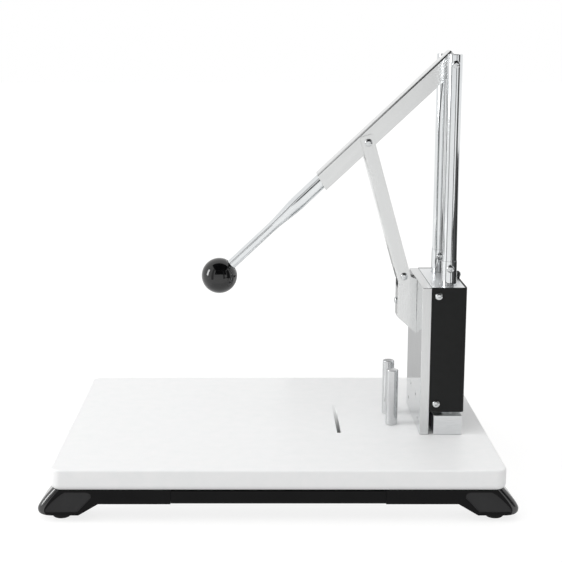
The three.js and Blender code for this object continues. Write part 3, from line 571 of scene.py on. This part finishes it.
def makePins():
    pin = {"stud": 4, "radius": 7.5, "chamfer": 1}
    low, high = nodeBox("locating_pin_front")
    seat = nodeBox("cutting_board")[1].z + 0.3
    profile = [(0, low.z), (pin["stud"] - 0.4, low.z), (pin["stud"], low.z + 0.4), (pin["stud"], seat),
               (pin["radius"] - 0.4, seat), (pin["radius"], seat + 0.4),
               (pin["radius"], high.z - pin["chamfer"]),
               *arc(pin["radius"] - pin["chamfer"], high.z - pin["chamfer"], pin["chamfer"], 0, 90, 5)[1:],
               (pin["radius"] * 0.5, high.z), (0, high.z)]
    first = turned("pinModel", profile, 64)
    for row in ("front", "rear"):
        low, high = nodeBox("locating_pin_" + row)
        twin = copyOf(first, "locatingPin" + row.title(), ((low.x + high.x) / 2, (low.y + high.y) / 2, 0))
        finishPiece(twin, pinSteel, "frame", ["locating_pin_" + row])
    bpy.data.objects.remove(first)


def makeColumn():
    column = {"rodRadius": 9, "chamfer": 1, "boreSlack": 0.3, "blockEdge": 0.7, "pivotDrop": 12,
              "screwRadius": 2.8, "boltRadius": 4.3, "boltDepth": 22.3}
    low, high = nodeBox("base_block")
    block = boxPiece("baseBlock", low, high)
    rods = [nodeBox("guide_rod_" + row) for row in ("front", "rear")]
    middles = [((a.x + b.x) / 2, (a.y + b.y) / 2) for a, b in rods]
    radius = column["rodRadius"]
    bore = radius + column["boreSlack"]
    shapeWith(block, [roundBar("bore", bore, low.z - 1, high.z + 1, middle=spot, sides=64)
                      for spot in middles])
    breakEdges(block, column["blockEdge"], 3)
    finishPiece(block, milledAluminium, "frame", ["base_block"])
    low, high = rods[0]
    chamfer = column["chamfer"]
    profile = [(0, low.z), (radius - 0.5, low.z), (radius, low.z + 0.5), (radius, high.z - chamfer),
               (radius - 0.15, high.z - chamfer * 0.6), (radius - chamfer * 0.8, high.z - 0.1),
               (radius - chamfer, high.z), (radius * 0.5, high.z), (0, high.z)]
    rod = turned("rodModel", profile, 96)
    shapeWith(rod, [
        roundBar("cross", column["screwRadius"], -radius - 1, radius + 1, "y",
                 (0, high.z - column["pivotDrop"])),
        roundBar("thread", column["boltRadius"], low.z - 1, low.z + column["boltDepth"]),
    ])
    for row, middle in zip(("front", "rear"), middles):
        twin = copyOf(rod, "guideRod" + row.title(), (*middle, 0))
        finishPiece(twin, chromeRod, "frame", ["guide_rod_" + row])
    bpy.data.objects.remove(rod)


def makeSpacers():
    spacer = {"outer": 6.5, "inner": 2.8, "edge": 0.5}
    for row in ("front", "rear"):
        low, high = nodeBox("pivot_spacer_" + row)
        length = high.y - low.y
        outer, inner, edge = spacer["outer"], spacer["inner"], spacer["edge"]
        ring = [(inner, 0), (outer - edge, 0), (outer, edge), (outer, length - edge), (outer - edge, length),
                (inner, length), (inner, 0)]
        piece = turned("pivotSpacer" + row.title(), ring, 48)
        settle(piece, turn=(-90, 0, 0))
        settle(piece, ((low.x + high.x) / 2, low.y, (low.z + high.z) / 2))
        finishPiece(piece, pinSteel, "frame", ["pivot_spacer_" + row])


makePins()
makeColumn()
makeSpacers()
print("column done")


# The lever is drawn lying flat with its pivot at the origin, then turned and lifted.
pivot = {"x": 212, "z": 519, "slope": leverTurn}


def ontoLever(piece):
    settle(piece, turn=(0, -pivot["slope"], 0))
    return settle(piece, (pivot["x"], 0, pivot["z"]))


def channelOutline(half, low, high, thickness, radius, steps=8):
    inner = radius - thickness
    outline = [(half, low), *arc(half - radius, high - radius, radius, 0, 90, steps)]
    outline += arc(radius - half, high - radius, radius, 90, 180, steps)
    outline += [(-half, low), (thickness - half, low)]
    outline += arc(radius - half, high - radius, inner, 180, 90, steps)
    outline += arc(half - radius, high - radius, inner, 90, 0, steps)
    return outline + [(half - thickness, low)]


def makeLeverChannel():
    lever = {"width": 30, "low": -9.6, "high": 12.9, "sheet": 1.5, "fold": 3, "tail": 10.2, "reach": 216,
             "rake": 5, "bushRadius": 6.5, "arm": 137.8, "armDrop": 1.65, "boltRadius": 2.8,
             "tailCorner": 4}
    half = lever["width"] / 2
    outline = channelOutline(half, lever["low"], lever["high"], lever["sheet"], lever["fold"])
    piece = slab("leverChannel", outline, "x", -lever["reach"], lever["tail"])
    across = Vector((lever["low"] - lever["high"], 0, lever["rake"])).normalized()
    editAll(piece)
    bpy.ops.mesh.bisect(plane_co=(-lever["reach"] * mm, 0, lever["low"] * mm), plane_no=across,
                        use_fill=True, clear_outer=True)
    leaveEdit(piece)
    corner = lever["tailCorner"]
    cut = [(lever["tail"] + 1, lever["low"] - 1), (lever["tail"] + 1, lever["low"] + corner)]
    cut += arc(lever["tail"] - corner, lever["low"] + corner, corner, 0, -90, 8)
    cut += [(lever["tail"] - corner, lever["low"] - 1)]
    shapeWith(piece, [
        slab("tailCut", cut, "y", -half - 1, half + 1),
        roundBar("bush", lever["bushRadius"], -half - 1, half + 1, "y", (0, 0)),
        roundBar("bolt", lever["boltRadius"], -half - 1, half + 1, "y", (-lever["arm"], -lever["armDrop"])),
    ])
    breakEdges(piece, 0.6, 2, 50)
    ontoLever(piece)
    finishPiece(piece, leverSteel, "lever", ["lever_channel"])


handleAxis = 1.6  # over the pivot's line


def alongHandle(piece, reach):
    settle(piece, turn=(0, -90, 0))
    settle(piece, (-reach, 0, handleAxis))
    return ontoLever(piece)


def makeHandle():
    handle = {"shoulder": 204.3, "socket": 34, "tenon": 7, "radius": 9.5, "neck": 6.25, "taperStart": 249,
              "taperEnd": 300, "neckEnd": 370, "stud": 4, "end": 387}
    big, neck = handle["radius"], handle["neck"]
    start, stop = handle["taperStart"], handle["taperEnd"]
    blend = []
    for i in range(13):
        t = i / 12
        blend.append((big + (neck - big) * t * t * (3 - 2 * t), start + (stop - start) * t))
    shoulder, tenon, stud = handle["shoulder"], handle["tenon"], handle["stud"]
    tip = shoulder - handle["socket"]
    profile = [(0, tip), (tenon, tip), (tenon, shoulder), (big - 0.4, shoulder), (big, shoulder + 0.4),
               *blend, (neck, handle["neckEnd"]), (stud, handle["neckEnd"]), (stud, handle["end"]),
               (0, handle["end"])]
    piece = alongHandle(turned("handleRod", profile, 96), 0)
    finishPiece(piece, chromeHandle, "lever", ["handle_rod"])


def makeKnob():
    knob = {"radius": 22.5, "reach": 389, "flat": 20.5, "bore": 7.3, "boreDepth": 1}
    radius, flat = knob["radius"], knob["flat"]
    rim = math.sqrt(radius ** 2 - flat ** 2)
    start = -math.degrees(math.asin(flat / radius)) + 2
    profile = [(0, knob["boreDepth"]), (knob["bore"], knob["boreDepth"]), (knob["bore"], -flat + 0.3),
               (knob["bore"] + 0.3, -flat), (rim - 0.8, -flat), *arc(0, 0, radius, start, 90, 40)[:-1],
               (0, radius)]
    piece = alongHandle(turned("knob", profile, 96), knob["reach"])
    finishPiece(piece, knobResin, "lever", ["knob"])


makeLeverChannel()
makeHandle()
makeKnob()
print("lever done")


# The link is drawn upright with its lower bolt at the origin, then leaned and lifted.
def makeLink():
    link = {"half": 17.1, "width": 17.6, "openEdge": 8, "length": 174.3, "end": 9.1, "foot": 8.5,
            "sheet": 1.5, "fold": 3, "webStart": 14, "webClearance": 14.6, "corner": 3, "screwRadius": 2.8,
            "x": 160.3, "z": 255.8, "lean": linkTurn}
    webSide = link["openEdge"] - link["width"]
    high = link["length"] + link["end"]
    outline = channelOutline(link["half"], 0, link["width"], link["sheet"], link["fold"])
    section = [(link["openEdge"] - b, a) for a, b in outline]
    piece = slab("link", section, "z", -link["foot"], high)
    edge, foot, corner = link["openEdge"], link["foot"], link["corner"]
    view = [(edge, 0), (edge, high - corner), *arc(edge - corner, high - corner, corner, 0, 90, 5)[1:]]
    view += [(webSide, high), (webSide, 0)]
    view += curve((webSide, 0), (webSide, -foot), (webSide / 4, -foot))[1:]
    view += curve((webSide / 4, -foot), (edge, -foot), (edge, 0))[1:-1]
    shapeWith(piece, [slab("view", view, "y", -link["half"] - 1, link["half"] + 1)], "INTERSECT")
    inside = link["half"] - link["sheet"]
    cutX = webSide + link["fold"]
    webEnd = link["length"] - link["webClearance"]
    reach = link["half"] + 1
    shapeWith(piece, [
        boxPiece("lowCut", (webSide - 1, -inside, -foot - 1), (cutX, inside, link["webStart"])),
        boxPiece("highCut", (webSide - 1, -inside, webEnd), (cutX, inside, high + 1)),
        roundBar("lowBolt", link["screwRadius"], -reach, reach, "y", (0, 0)),
        roundBar("highBolt", link["screwRadius"], -reach, reach, "y", (0, link["length"])),
    ])
    breakEdges(piece, 0.6, 2, 50)
    settle(piece, turn=(0, -link["lean"], 0))
    settle(piece, (link["x"], 0, link["z"]))
    finishPiece(piece, linkSteel, "link_arm", ["link"])


makeLink()
print("link done")


def makeBracket():
    bracket = {"half": 15, "reach": 24, "pinReach": 16.7, "pinZ": 255.8, "drop": 69, "step": 48,
               "webDrop": 11, "boltDrop": 29, "sheet": 1.5, "fold": 2, "screwRadius": 2.8}
    plateFace = nodeBox("tool_plate")[0].x
    top = nodeBox("tool_plate")[1].z
    back = plateFace - 0.3
    left = plateFace - bracket["reach"]
    pinX = plateFace - bracket["pinReach"]
    crown = pinX - left
    outline = channelOutline(bracket["half"], 0, back - left, bracket["sheet"], bracket["fold"])
    section = [(back - b, a) for a, b in outline]
    piece = slab("bracket", section, "z", top - bracket["drop"], bracket["pinZ"] + bracket["reach"])
    view = [(back, top - bracket["drop"]), (back, top + 1)]
    view += curve((back, top + 1), (back - 6, top + 2), (pinX + crown, bracket["pinZ"]), 6)[1:]
    view += arc(pinX, bracket["pinZ"], crown, 0, 180, 16)[1:]
    view += [(left, top - bracket["step"])]
    shapeWith(piece, [slab("view", view, "y", -bracket["half"] - 1, bracket["half"] + 1)], "INTERSECT")
    inside = bracket["half"] - bracket["sheet"]
    shapeWith(piece, [
        boxPiece("webCut", (left - 1, -inside, top - bracket["webDrop"]), (left + 3, inside, top + 40)),
        roundBar("webHole", bracket["screwRadius"], left - 1, left + 5, "x", (0, top - bracket["boltDrop"])),
        roundBar("pinHole", bracket["screwRadius"], -bracket["half"] - 1, bracket["half"] + 1, "y",
                 (pinX, bracket["pinZ"])),
    ])
    breakEdges(piece, 0.2, 2, 50)
    finishPiece(piece, bracketSteel, "carriage", ["bracket"])


def makeCover():
    cover = {"wall": 1.8, "corner": 4, "tabWidth": 14, "tabHeight": 8, "tabCorner": 3, "screwX": 197,
             "screwInset": 10.5, "screwRadius": 2.8, "tabScrewRadius": 2.3}
    low, high = nodeBox("cover")
    top = high.z - cover["tabHeight"]
    corner, wall = cover["corner"], cover["wall"]
    inner = corner - wall
    outline = [(low.x, low.y), *arc(high.x - corner, low.y + corner, corner, -90, 0)]
    outline += arc(high.x - corner, high.y - corner, corner, 0, 90)
    outline += [(low.x, high.y), (low.x, high.y - wall)]
    outline += arc(high.x - corner, high.y - corner, inner, 90, 0)
    outline += arc(high.x - corner, low.y + corner, inner, 0, -90)
    outline += [(low.x, low.y + wall)]
    piece = slab("cover", outline, "z", low.z, top)
    half = cover["tabWidth"] / 2
    tabTop = high.z
    tabRound = cover["tabCorner"]
    tabShape = [(-half, top - 5), (half, top - 5), (half, tabTop - tabRound)]
    tabShape += arc(half - tabRound, tabTop - tabRound, tabRound, 0, 90, 5)[1:]
    tabShape += arc(tabRound - half, tabTop - tabRound, tabRound, 90, 180, 5)
    shapeWith(piece, [slab("tab", tabShape, "x", high.x - wall, high.x)], "UNION")
    cutters = [roundBar("tabHole", cover["tabScrewRadius"], high.x - 5, high.x + 5, "x",
                        (0, top + cover["tabHeight"] / 2))]
    for z in (top - cover["screwInset"], low.z + cover["screwInset"]):
        cutters.append(roundBar("sideHole", cover["screwRadius"], low.y - 1, high.y + 1, "y",
                                (cover["screwX"], z)))
    shapeWith(piece, cutters)
    breakEdges(piece, 0.5, 3, 40)
    finishPiece(piece, blackCoat, "carriage", ["cover"])
    return top


def makePlate(coverTop):
    plate = {"edge": 0.8, "screwY": 25, "screwInset": 10.5, "toolY": 46, "toolZ": 80, "toolRadius": 2.5,
             "screwRadius": 2.8, "coneRadius": 4.9, "bracketDrop": 29}
    low, high = nodeBox("tool_plate")
    coverLow = nodeBox("cover")[0].z
    piece = boxPiece("toolPlate", low, high)
    breakEdges(piece, plate["edge"], 3)
    cutters = [roundBar("bracketHole", plate["screwRadius"], low.x - 1, low.x + 9, "x",
                        (0, high.z - plate["bracketDrop"]))]
    for end in (-1, 1):
        for z in (coverTop - plate["screwInset"], coverLow + plate["screwInset"]):
            y = end * plate["screwY"]
            cutters.append(roundBar("screwHole", plate["screwRadius"], low.x - 1, high.x + 1, "x", (y, z)))
            cone = turned("cone", [(0, 0), (plate["coneRadius"] + 1, 0), (plate["screwRadius"] - 0.2, 3.3),
                                   (0, 3.3)], 48)
            settle(cone, turn=(0, 90, 0))
            cutters.append(settle(cone, (low.x - 1, y, z)))
        cutters.append(roundBar("toolHole", plate["toolRadius"], low.x - 1, high.x + 1, "x",
                                (end * plate["toolY"], plate["toolZ"])))
    shapeWith(piece, cutters)
    finishPiece(piece, [plateEdge, plateMirror], "carriage", ["tool_plate"])
    paintFaces(piece, 1, lambda face: face.normal.x < -0.9)


def makeUpperBlock():
    block = {"bore": 10.3, "rodY": 45, "edge": 0.5}
    low, high = nodeBox("upper_block")
    rodLow, rodHigh = nodeBox("guide_rod_front")
    rodX = (rodLow.x + rodHigh.x) / 2
    piece = boxPiece("upperBlock", low, high)
    shapeWith(piece, [roundBar("bore", block["bore"], low.z - 1, high.z + 1, sides=64,
                               middle=(rodX, end * block["rodY"])) for end in (-1, 1)])
    breakEdges(piece, block["edge"], 3)
    finishPiece(piece, milledAluminium, "carriage", ["upper_block"])


def makeUpperBushes():
    bush = {"inner": 9.2, "outer": 10, "neck": 9.4, "step": 250.5, "edge": 0.12, "lockDrop": 8.7,
            "screwRadius": 2.8}
    for row in ("front", "rear"):
        low, high = nodeBox("upper_bush_" + row)
        inner, outer, edge = bush["inner"], bush["outer"], bush["edge"]
        neck, step = bush["neck"], bush["step"]
        ring = [(inner, low.z), (outer - edge, low.z), (outer, low.z + edge), (outer, step),
                (neck, step + 0.3), (neck, high.z - edge), (neck - edge, high.z), (inner, high.z),
                (inner, low.z)]
        piece = turned("guideSleeve" + row.title(), ring, 96)
        lockZ = high.z - bush["lockDrop"]
        shapeWith(piece, [roundBar("lock", bush["screwRadius"], -outer - 1, 0, "y", (0, lockZ))])
        settle(piece, ((low.x + high.x) / 2, (low.y + high.y) / 2, 0))
        finishPiece(piece, chromeRod, "carriage", ["upper_bush_" + row])


makeBracket()
makePlate(makeCover())
makeUpperBlock()
makeUpperBushes()
print("carriage done")


# For each way a fastener may face: its turn from head up, the axis along it, and which end its head is at.
facings = {"front": ((90, 0, 0), 1, -1), "rear": ((-90, 0, 0), 1, 1), "left": ((0, -90, 0), 0, -1),
           "right": ((0, 90, 0), 0, 1), "down": ((180, 0, 0), 2, -1)}


# A dome-headed socket screw drawn head up with its seat at the origin.
def domedScrew(name, length, radius, headRadius, headHeight):
    rim = 0.25 * headHeight
    dome = [(headRadius * math.cos(math.radians(a)), rim + (headHeight - rim) * math.sin(math.radians(a)))
            for a in range(0, 81, 10)]
    profile = [(0, -length), (radius - 0.4, -length), (radius, -length + 0.4), (radius, 0),
               (headRadius - 0.2, 0), *dome, (0, headHeight)]
    piece = turned(name, profile, 48)
    socket = headRadius * 0.42
    return shapeWith(piece, [roundBar("hexagon", socket, headHeight * 0.1, headHeight + 1, sides=6)])


def placeScrew(first, name, node, facing, headHeight, body):
    low, high = nodeBox(node)
    turn, axis, end = facings[facing]
    seat = (low + high) / 2
    seat[axis] = (high if end > 0 else low)[axis] - end * headHeight
    twin = copyOf(first, name)
    settle(twin, turn=turn)
    settle(twin, seat)
    finishPiece(twin, screwSteel, body, [node])


def makeScrews():
    screw = {"radius": 2.5, "headRadius": 4.6, "headHeight": 2.7}
    small = {"radius": 2, "headRadius": 3.6, "headHeight": 2.113}
    kinds = [
        ("pivotScrew", screw, [("pivot_bolt", "front", "frame")]),
        ("linkScrew", screw, [("link_bolt", "front", "link_arm")]),
        ("linkFootScrew", screw, [("link_foot_bolt", "front", "carriage")]),
        ("bracketScrew", screw, [("bracket_bolt", "left", "carriage")]),
        ("coverScrew", screw, [(f"cover_screw_{row}_{level}", row, "carriage")
                               for row in ("front", "rear") for level in ("upper", "lower")]),
        ("lockScrew", screw, [(f"lock_screw_{row}", "front", "carriage") for row in ("front", "rear")]),
        ("footScrew", screw, [(f"{row}_{hand}_foot_screw", "down", "frame")
                              for row in ("front", "rear") for hand in ("left", "right")]),
        ("tabScrew", small, [("cover_tab_screw", "right", "carriage")]),
    ]
    for name, size, places in kinds:
        low, high = nodeBox(places[0][0])
        length = (high - low)[facings[places[0][1]][1]] - size["headHeight"]
        first = domedScrew(name + "Model", length, size["radius"], size["headRadius"], size["headHeight"])
        for number, (node, facing, body) in enumerate(places, 1):
            placeScrew(first, f"{name}{number}", node, facing, size["headHeight"], body)
        bpy.data.objects.remove(first)


def makePlateScrews():
    screw = {"radius": 2.5, "headRadius": 4.6, "socket": 1.7}
    nodes = [f"plate_screw_{row}_{level}" for row in ("front", "rear") for level in ("upper", "lower")]
    low, high = nodeBox(nodes[0])
    length = high.x - low.x
    cone = screw["headRadius"] - screw["radius"]
    profile = [(0, -length), (screw["radius"] - 0.4, -length), (screw["radius"], 0.4 - length),
               (screw["radius"], -cone - 0.2), (screw["headRadius"], -0.2), (screw["headRadius"] - 0.2, 0),
               (0, 0)]
    first = turned("plateScrewModel", profile, 48)
    shapeWith(first, [roundBar("hexagon", screw["socket"], -cone, 1, sides=6)])
    for number, node in enumerate(nodes, 1):
        low, high = nodeBox(node)
        twin = copyOf(first, f"plateScrew{number}")
        settle(twin, turn=facings["left"][0])
        settle(twin, (low.x, (low.y + high.y) / 2, (low.z + high.z) / 2))
        finishPiece(twin, screwSteel, "carriage", [node])
    bpy.data.objects.remove(first)


def makeNuts():
    nut = {"radius": 4.6, "height": 4, "hole": 2.8}
    height = nut["height"]
    blank = roundBar("nutModel", nut["radius"], 0, height, sides=6)
    dome = turned("nutDome", [(0, -0.01), (nut["radius"] * 0.9, -0.01), (nut["radius"] + 0.3, 0.8),
                              (nut["radius"] + 0.3, height - 0.8), (nut["radius"] * 0.9, height + 0.01),
                              (0, height + 0.01)], 48)
    shapeWith(blank, [dome], "INTERSECT")
    shapeWith(blank, [roundBar("hole", nut["hole"], -1, height + 1, sides=32)])
    for name, node, body in (("pivotNut", "pivot_nut", "frame"), ("linkNut", "link_nut", "link_arm"),
                             ("linkFootNut", "link_foot_nut", "carriage")):
        low, high = nodeBox(node)
        twin = copyOf(blank, name)
        settle(twin, turn=facings["rear"][0])
        settle(twin, ((low.x + high.x) / 2, low.y, (low.z + high.z) / 2))
        finishPiece(twin, screwSteel, body, [node])
    bpy.data.objects.remove(blank)


makeScrews()
makePlateScrews()
makeNuts()
print("fasteners done")


# These CAD nodes are hidden or nearly hidden, and keep their own shape.
keptNodes = {
    "rod_bolt_front": screwSteel, "rod_bolt_rear": screwSteel, "lower_block": milledAluminium,
    "lower_bush_front": bearingBronze, "lower_bush_rear": bearingBronze, "lever_bush": bearingBronze,
    "handle_socket": pinSteel, "knob_insert": bearingBronze, "bracket_spacer": pinSteel,
}
for node, material in keptNodes.items():
    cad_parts[node].material_slots[0].material = material
print("kept CAD nodes:", len(keptNodes))


def makeFloor():
    floor = {"size": 30000, "dark": "#8a8a89", "light": "#949493", "glow": 0.8}
    deselectAll()
    bpy.ops.mesh.primitive_plane_add(size=floor["size"] * mm, location=(0, 0, -0.0002))
    piece = named("floor")
    material, tree = emptyMaterial("floorPaperPale")
    place = addNode(tree, "TexCoord")
    scaled = addNode(tree, "Mapping", blotch(4, 4, 4), {"Vector": place.outputs["Object"]})
    speck = addNode(tree, "TexNoise", {"Scale": 1.0, "Detail": 3.0, "Roughness": 0.55}, {"Vector": scaled})
    colour = addNode(tree, "ValToRGB", {"stops": [(0.3, floor["dark"]), (0.7, floor["light"])]},
                     {"Fac": speck})
    shader = addNode(tree, "BsdfPrincipled", {
        "Roughness": 0.9, "Specular IOR Level": 0.1, "Emission Strength": floor["glow"],
        "Emission Color": toLinear("#ffffff")}, {"Base Color": colour})
    addNode(tree, "OutputMaterial", None, {"Surface": shader})
    piece.data.materials.append(material)
    piece.visible_diffuse = False


def makeSky():
    sky = {"mirrored": 1.0, "cast": 0.6}
    world = bpy.data.worlds.new("studioRoom")
    bpy.context.scene.world = world
    world.use_nodes = True
    tree = world.node_tree
    tree.nodes.clear()
    rays = addNode(tree, "LightPath")
    level = addNode(tree, "MapRange", {"To Min": sky["mirrored"], "To Max": sky["cast"]},
                    {"Value": rays.outputs["Is Diffuse Ray"]})
    back = addNode(tree, "Background", {"Color": (1, 1, 1, 1)}, {"Strength": level})
    addNode(tree, "OutputWorld", None, {"Surface": back})


def makeLights():
    sunLamp = {"strength": 0.9, "softness": 60, "turn": (28, -24, 0)}
    bpy.ops.object.light_add(type="SUN")
    sun = bpy.context.object
    sun.name = "softSun"
    sun.data.energy = sunLamp["strength"]
    sun.data.angle = math.radians(sunLamp["softness"])
    sun.rotation_euler = [math.radians(angle) for angle in sunLamp["turn"]]
    sun.visible_glossy = False
    boxes = {
        "leftSoftbox": {"place": (-2.2, -0.3, 0.9), "aim": (0.1, 0, 0.3), "size": (0.5, 1.2), "power": 18},
        "knobSoftbox": {"place": (-0.9, -2.0, 1.25), "aim": (-0.1, 0, 0.3), "size": (0.2, 0.2), "power": 1.6},
    }
    for name, box in boxes.items():
        bpy.ops.object.light_add(type="AREA", location=box["place"])
        lamp = bpy.context.object
        lamp.name = name
        lamp.data.shape = "RECTANGLE"
        lamp.data.size, lamp.data.size_y = box["size"]
        lamp.data.energy = box["power"]
        lamp.rotation_euler = (Vector(box["aim"]) - Vector(box["place"])).to_track_quat("-Z", "Y").to_euler()


# Cards round the machine, seen only in reflections, give the bright metal its dark bands.
def makeCards():
    cards = {
        "ceilingCard": {"low": (-1.2, -1.6, 1.9), "high": (1.8, 0.2, 1.901), "glow": 0.02},
        "frontCard": {"low": (-1.1, -1.9, 0.8), "high": (2.2, -1.899, 2.2), "glow": 0.03},
        "narrowCard": {"low": (0.41, -0.94, 0.02), "high": (0.6, -0.939, 1.1), "glow": 0.15},
        "rightCard": {"low": (1.0, -0.83, 0.02), "high": (1.001, -0.3, 1.1), "glow": 0.1},
        "leftCard": {"low": (-0.59, -0.72, 0.02), "high": (-0.589, -0.42, 1.1), "glow": 0.4},
        "lowCard": {"low": (1.0, -1.9, 0.02), "high": (4.7, 1.2, 0.021), "glow": 0.04},
        "pinCard": {"low": (0.285, -0.22, 0.067), "high": (0.34, -0.219, 0.2), "glow": 0.12},
        "backCard": {"low": (0.02, 0.26, 0.001), "high": (0.18, 0.261, 0.24), "glow": 0.5},
    }
    for name, card in cards.items():
        piece = boxPiece(name, Vector(card["low"]) / mm, Vector(card["high"]) / mm)
        material, tree = emptyMaterial("paperGrey" + name.title())
        place = addNode(tree, "TexCoord")
        scaled = addNode(tree, "Mapping", blotch(300, 300, 300), {"Vector": place.outputs["Object"]})
        nap = addNode(tree, "TexNoise", {"Scale": 1.0, "Detail": 3.0, "Roughness": 0.55}, {"Vector": scaled})
        level = addNode(tree, "MapRange", {"From Min": 0.3, "From Max": 0.7, "To Min": card["glow"] * 0.8,
                                           "To Max": card["glow"] * 1.2}, {"Value": nap})
        shader = addNode(tree, "BsdfPrincipled", {
            "Base Color": toLinear("#000000"), "Specular IOR Level": 0.0, "Emission Strength": 1.0},
            {"Emission Color": level})
        addNode(tree, "OutputMaterial", None, {"Surface": shader})
        piece.data.materials.append(material)
        for kind in ("camera", "diffuse", "shadow", "transmission", "volume_scatter"):
            setattr(piece, "visible_" + kind, False)


def makeCamera():
    view = {"lens": 79.5, "shift": 0.0374, "place": (-0.0211, -1.5497, 0.5465), "pitch": 10.95}
    bpy.ops.object.camera_add(location=view["place"], rotation=(math.radians(90 - view["pitch"]), 0, 0))
    camera = bpy.context.object
    camera.name = "camera"
    camera.data.lens = view["lens"]
    camera.data.sensor_width = 36
    camera.data.shift_x = view["shift"]
    bpy.context.scene.camera = camera
    bpy.context.scene.view_settings.view_transform = "Standard"


makeFloor()
makeSky()
makeLights()
makeCards()
makeCamera()
print("floor, light and camera done")
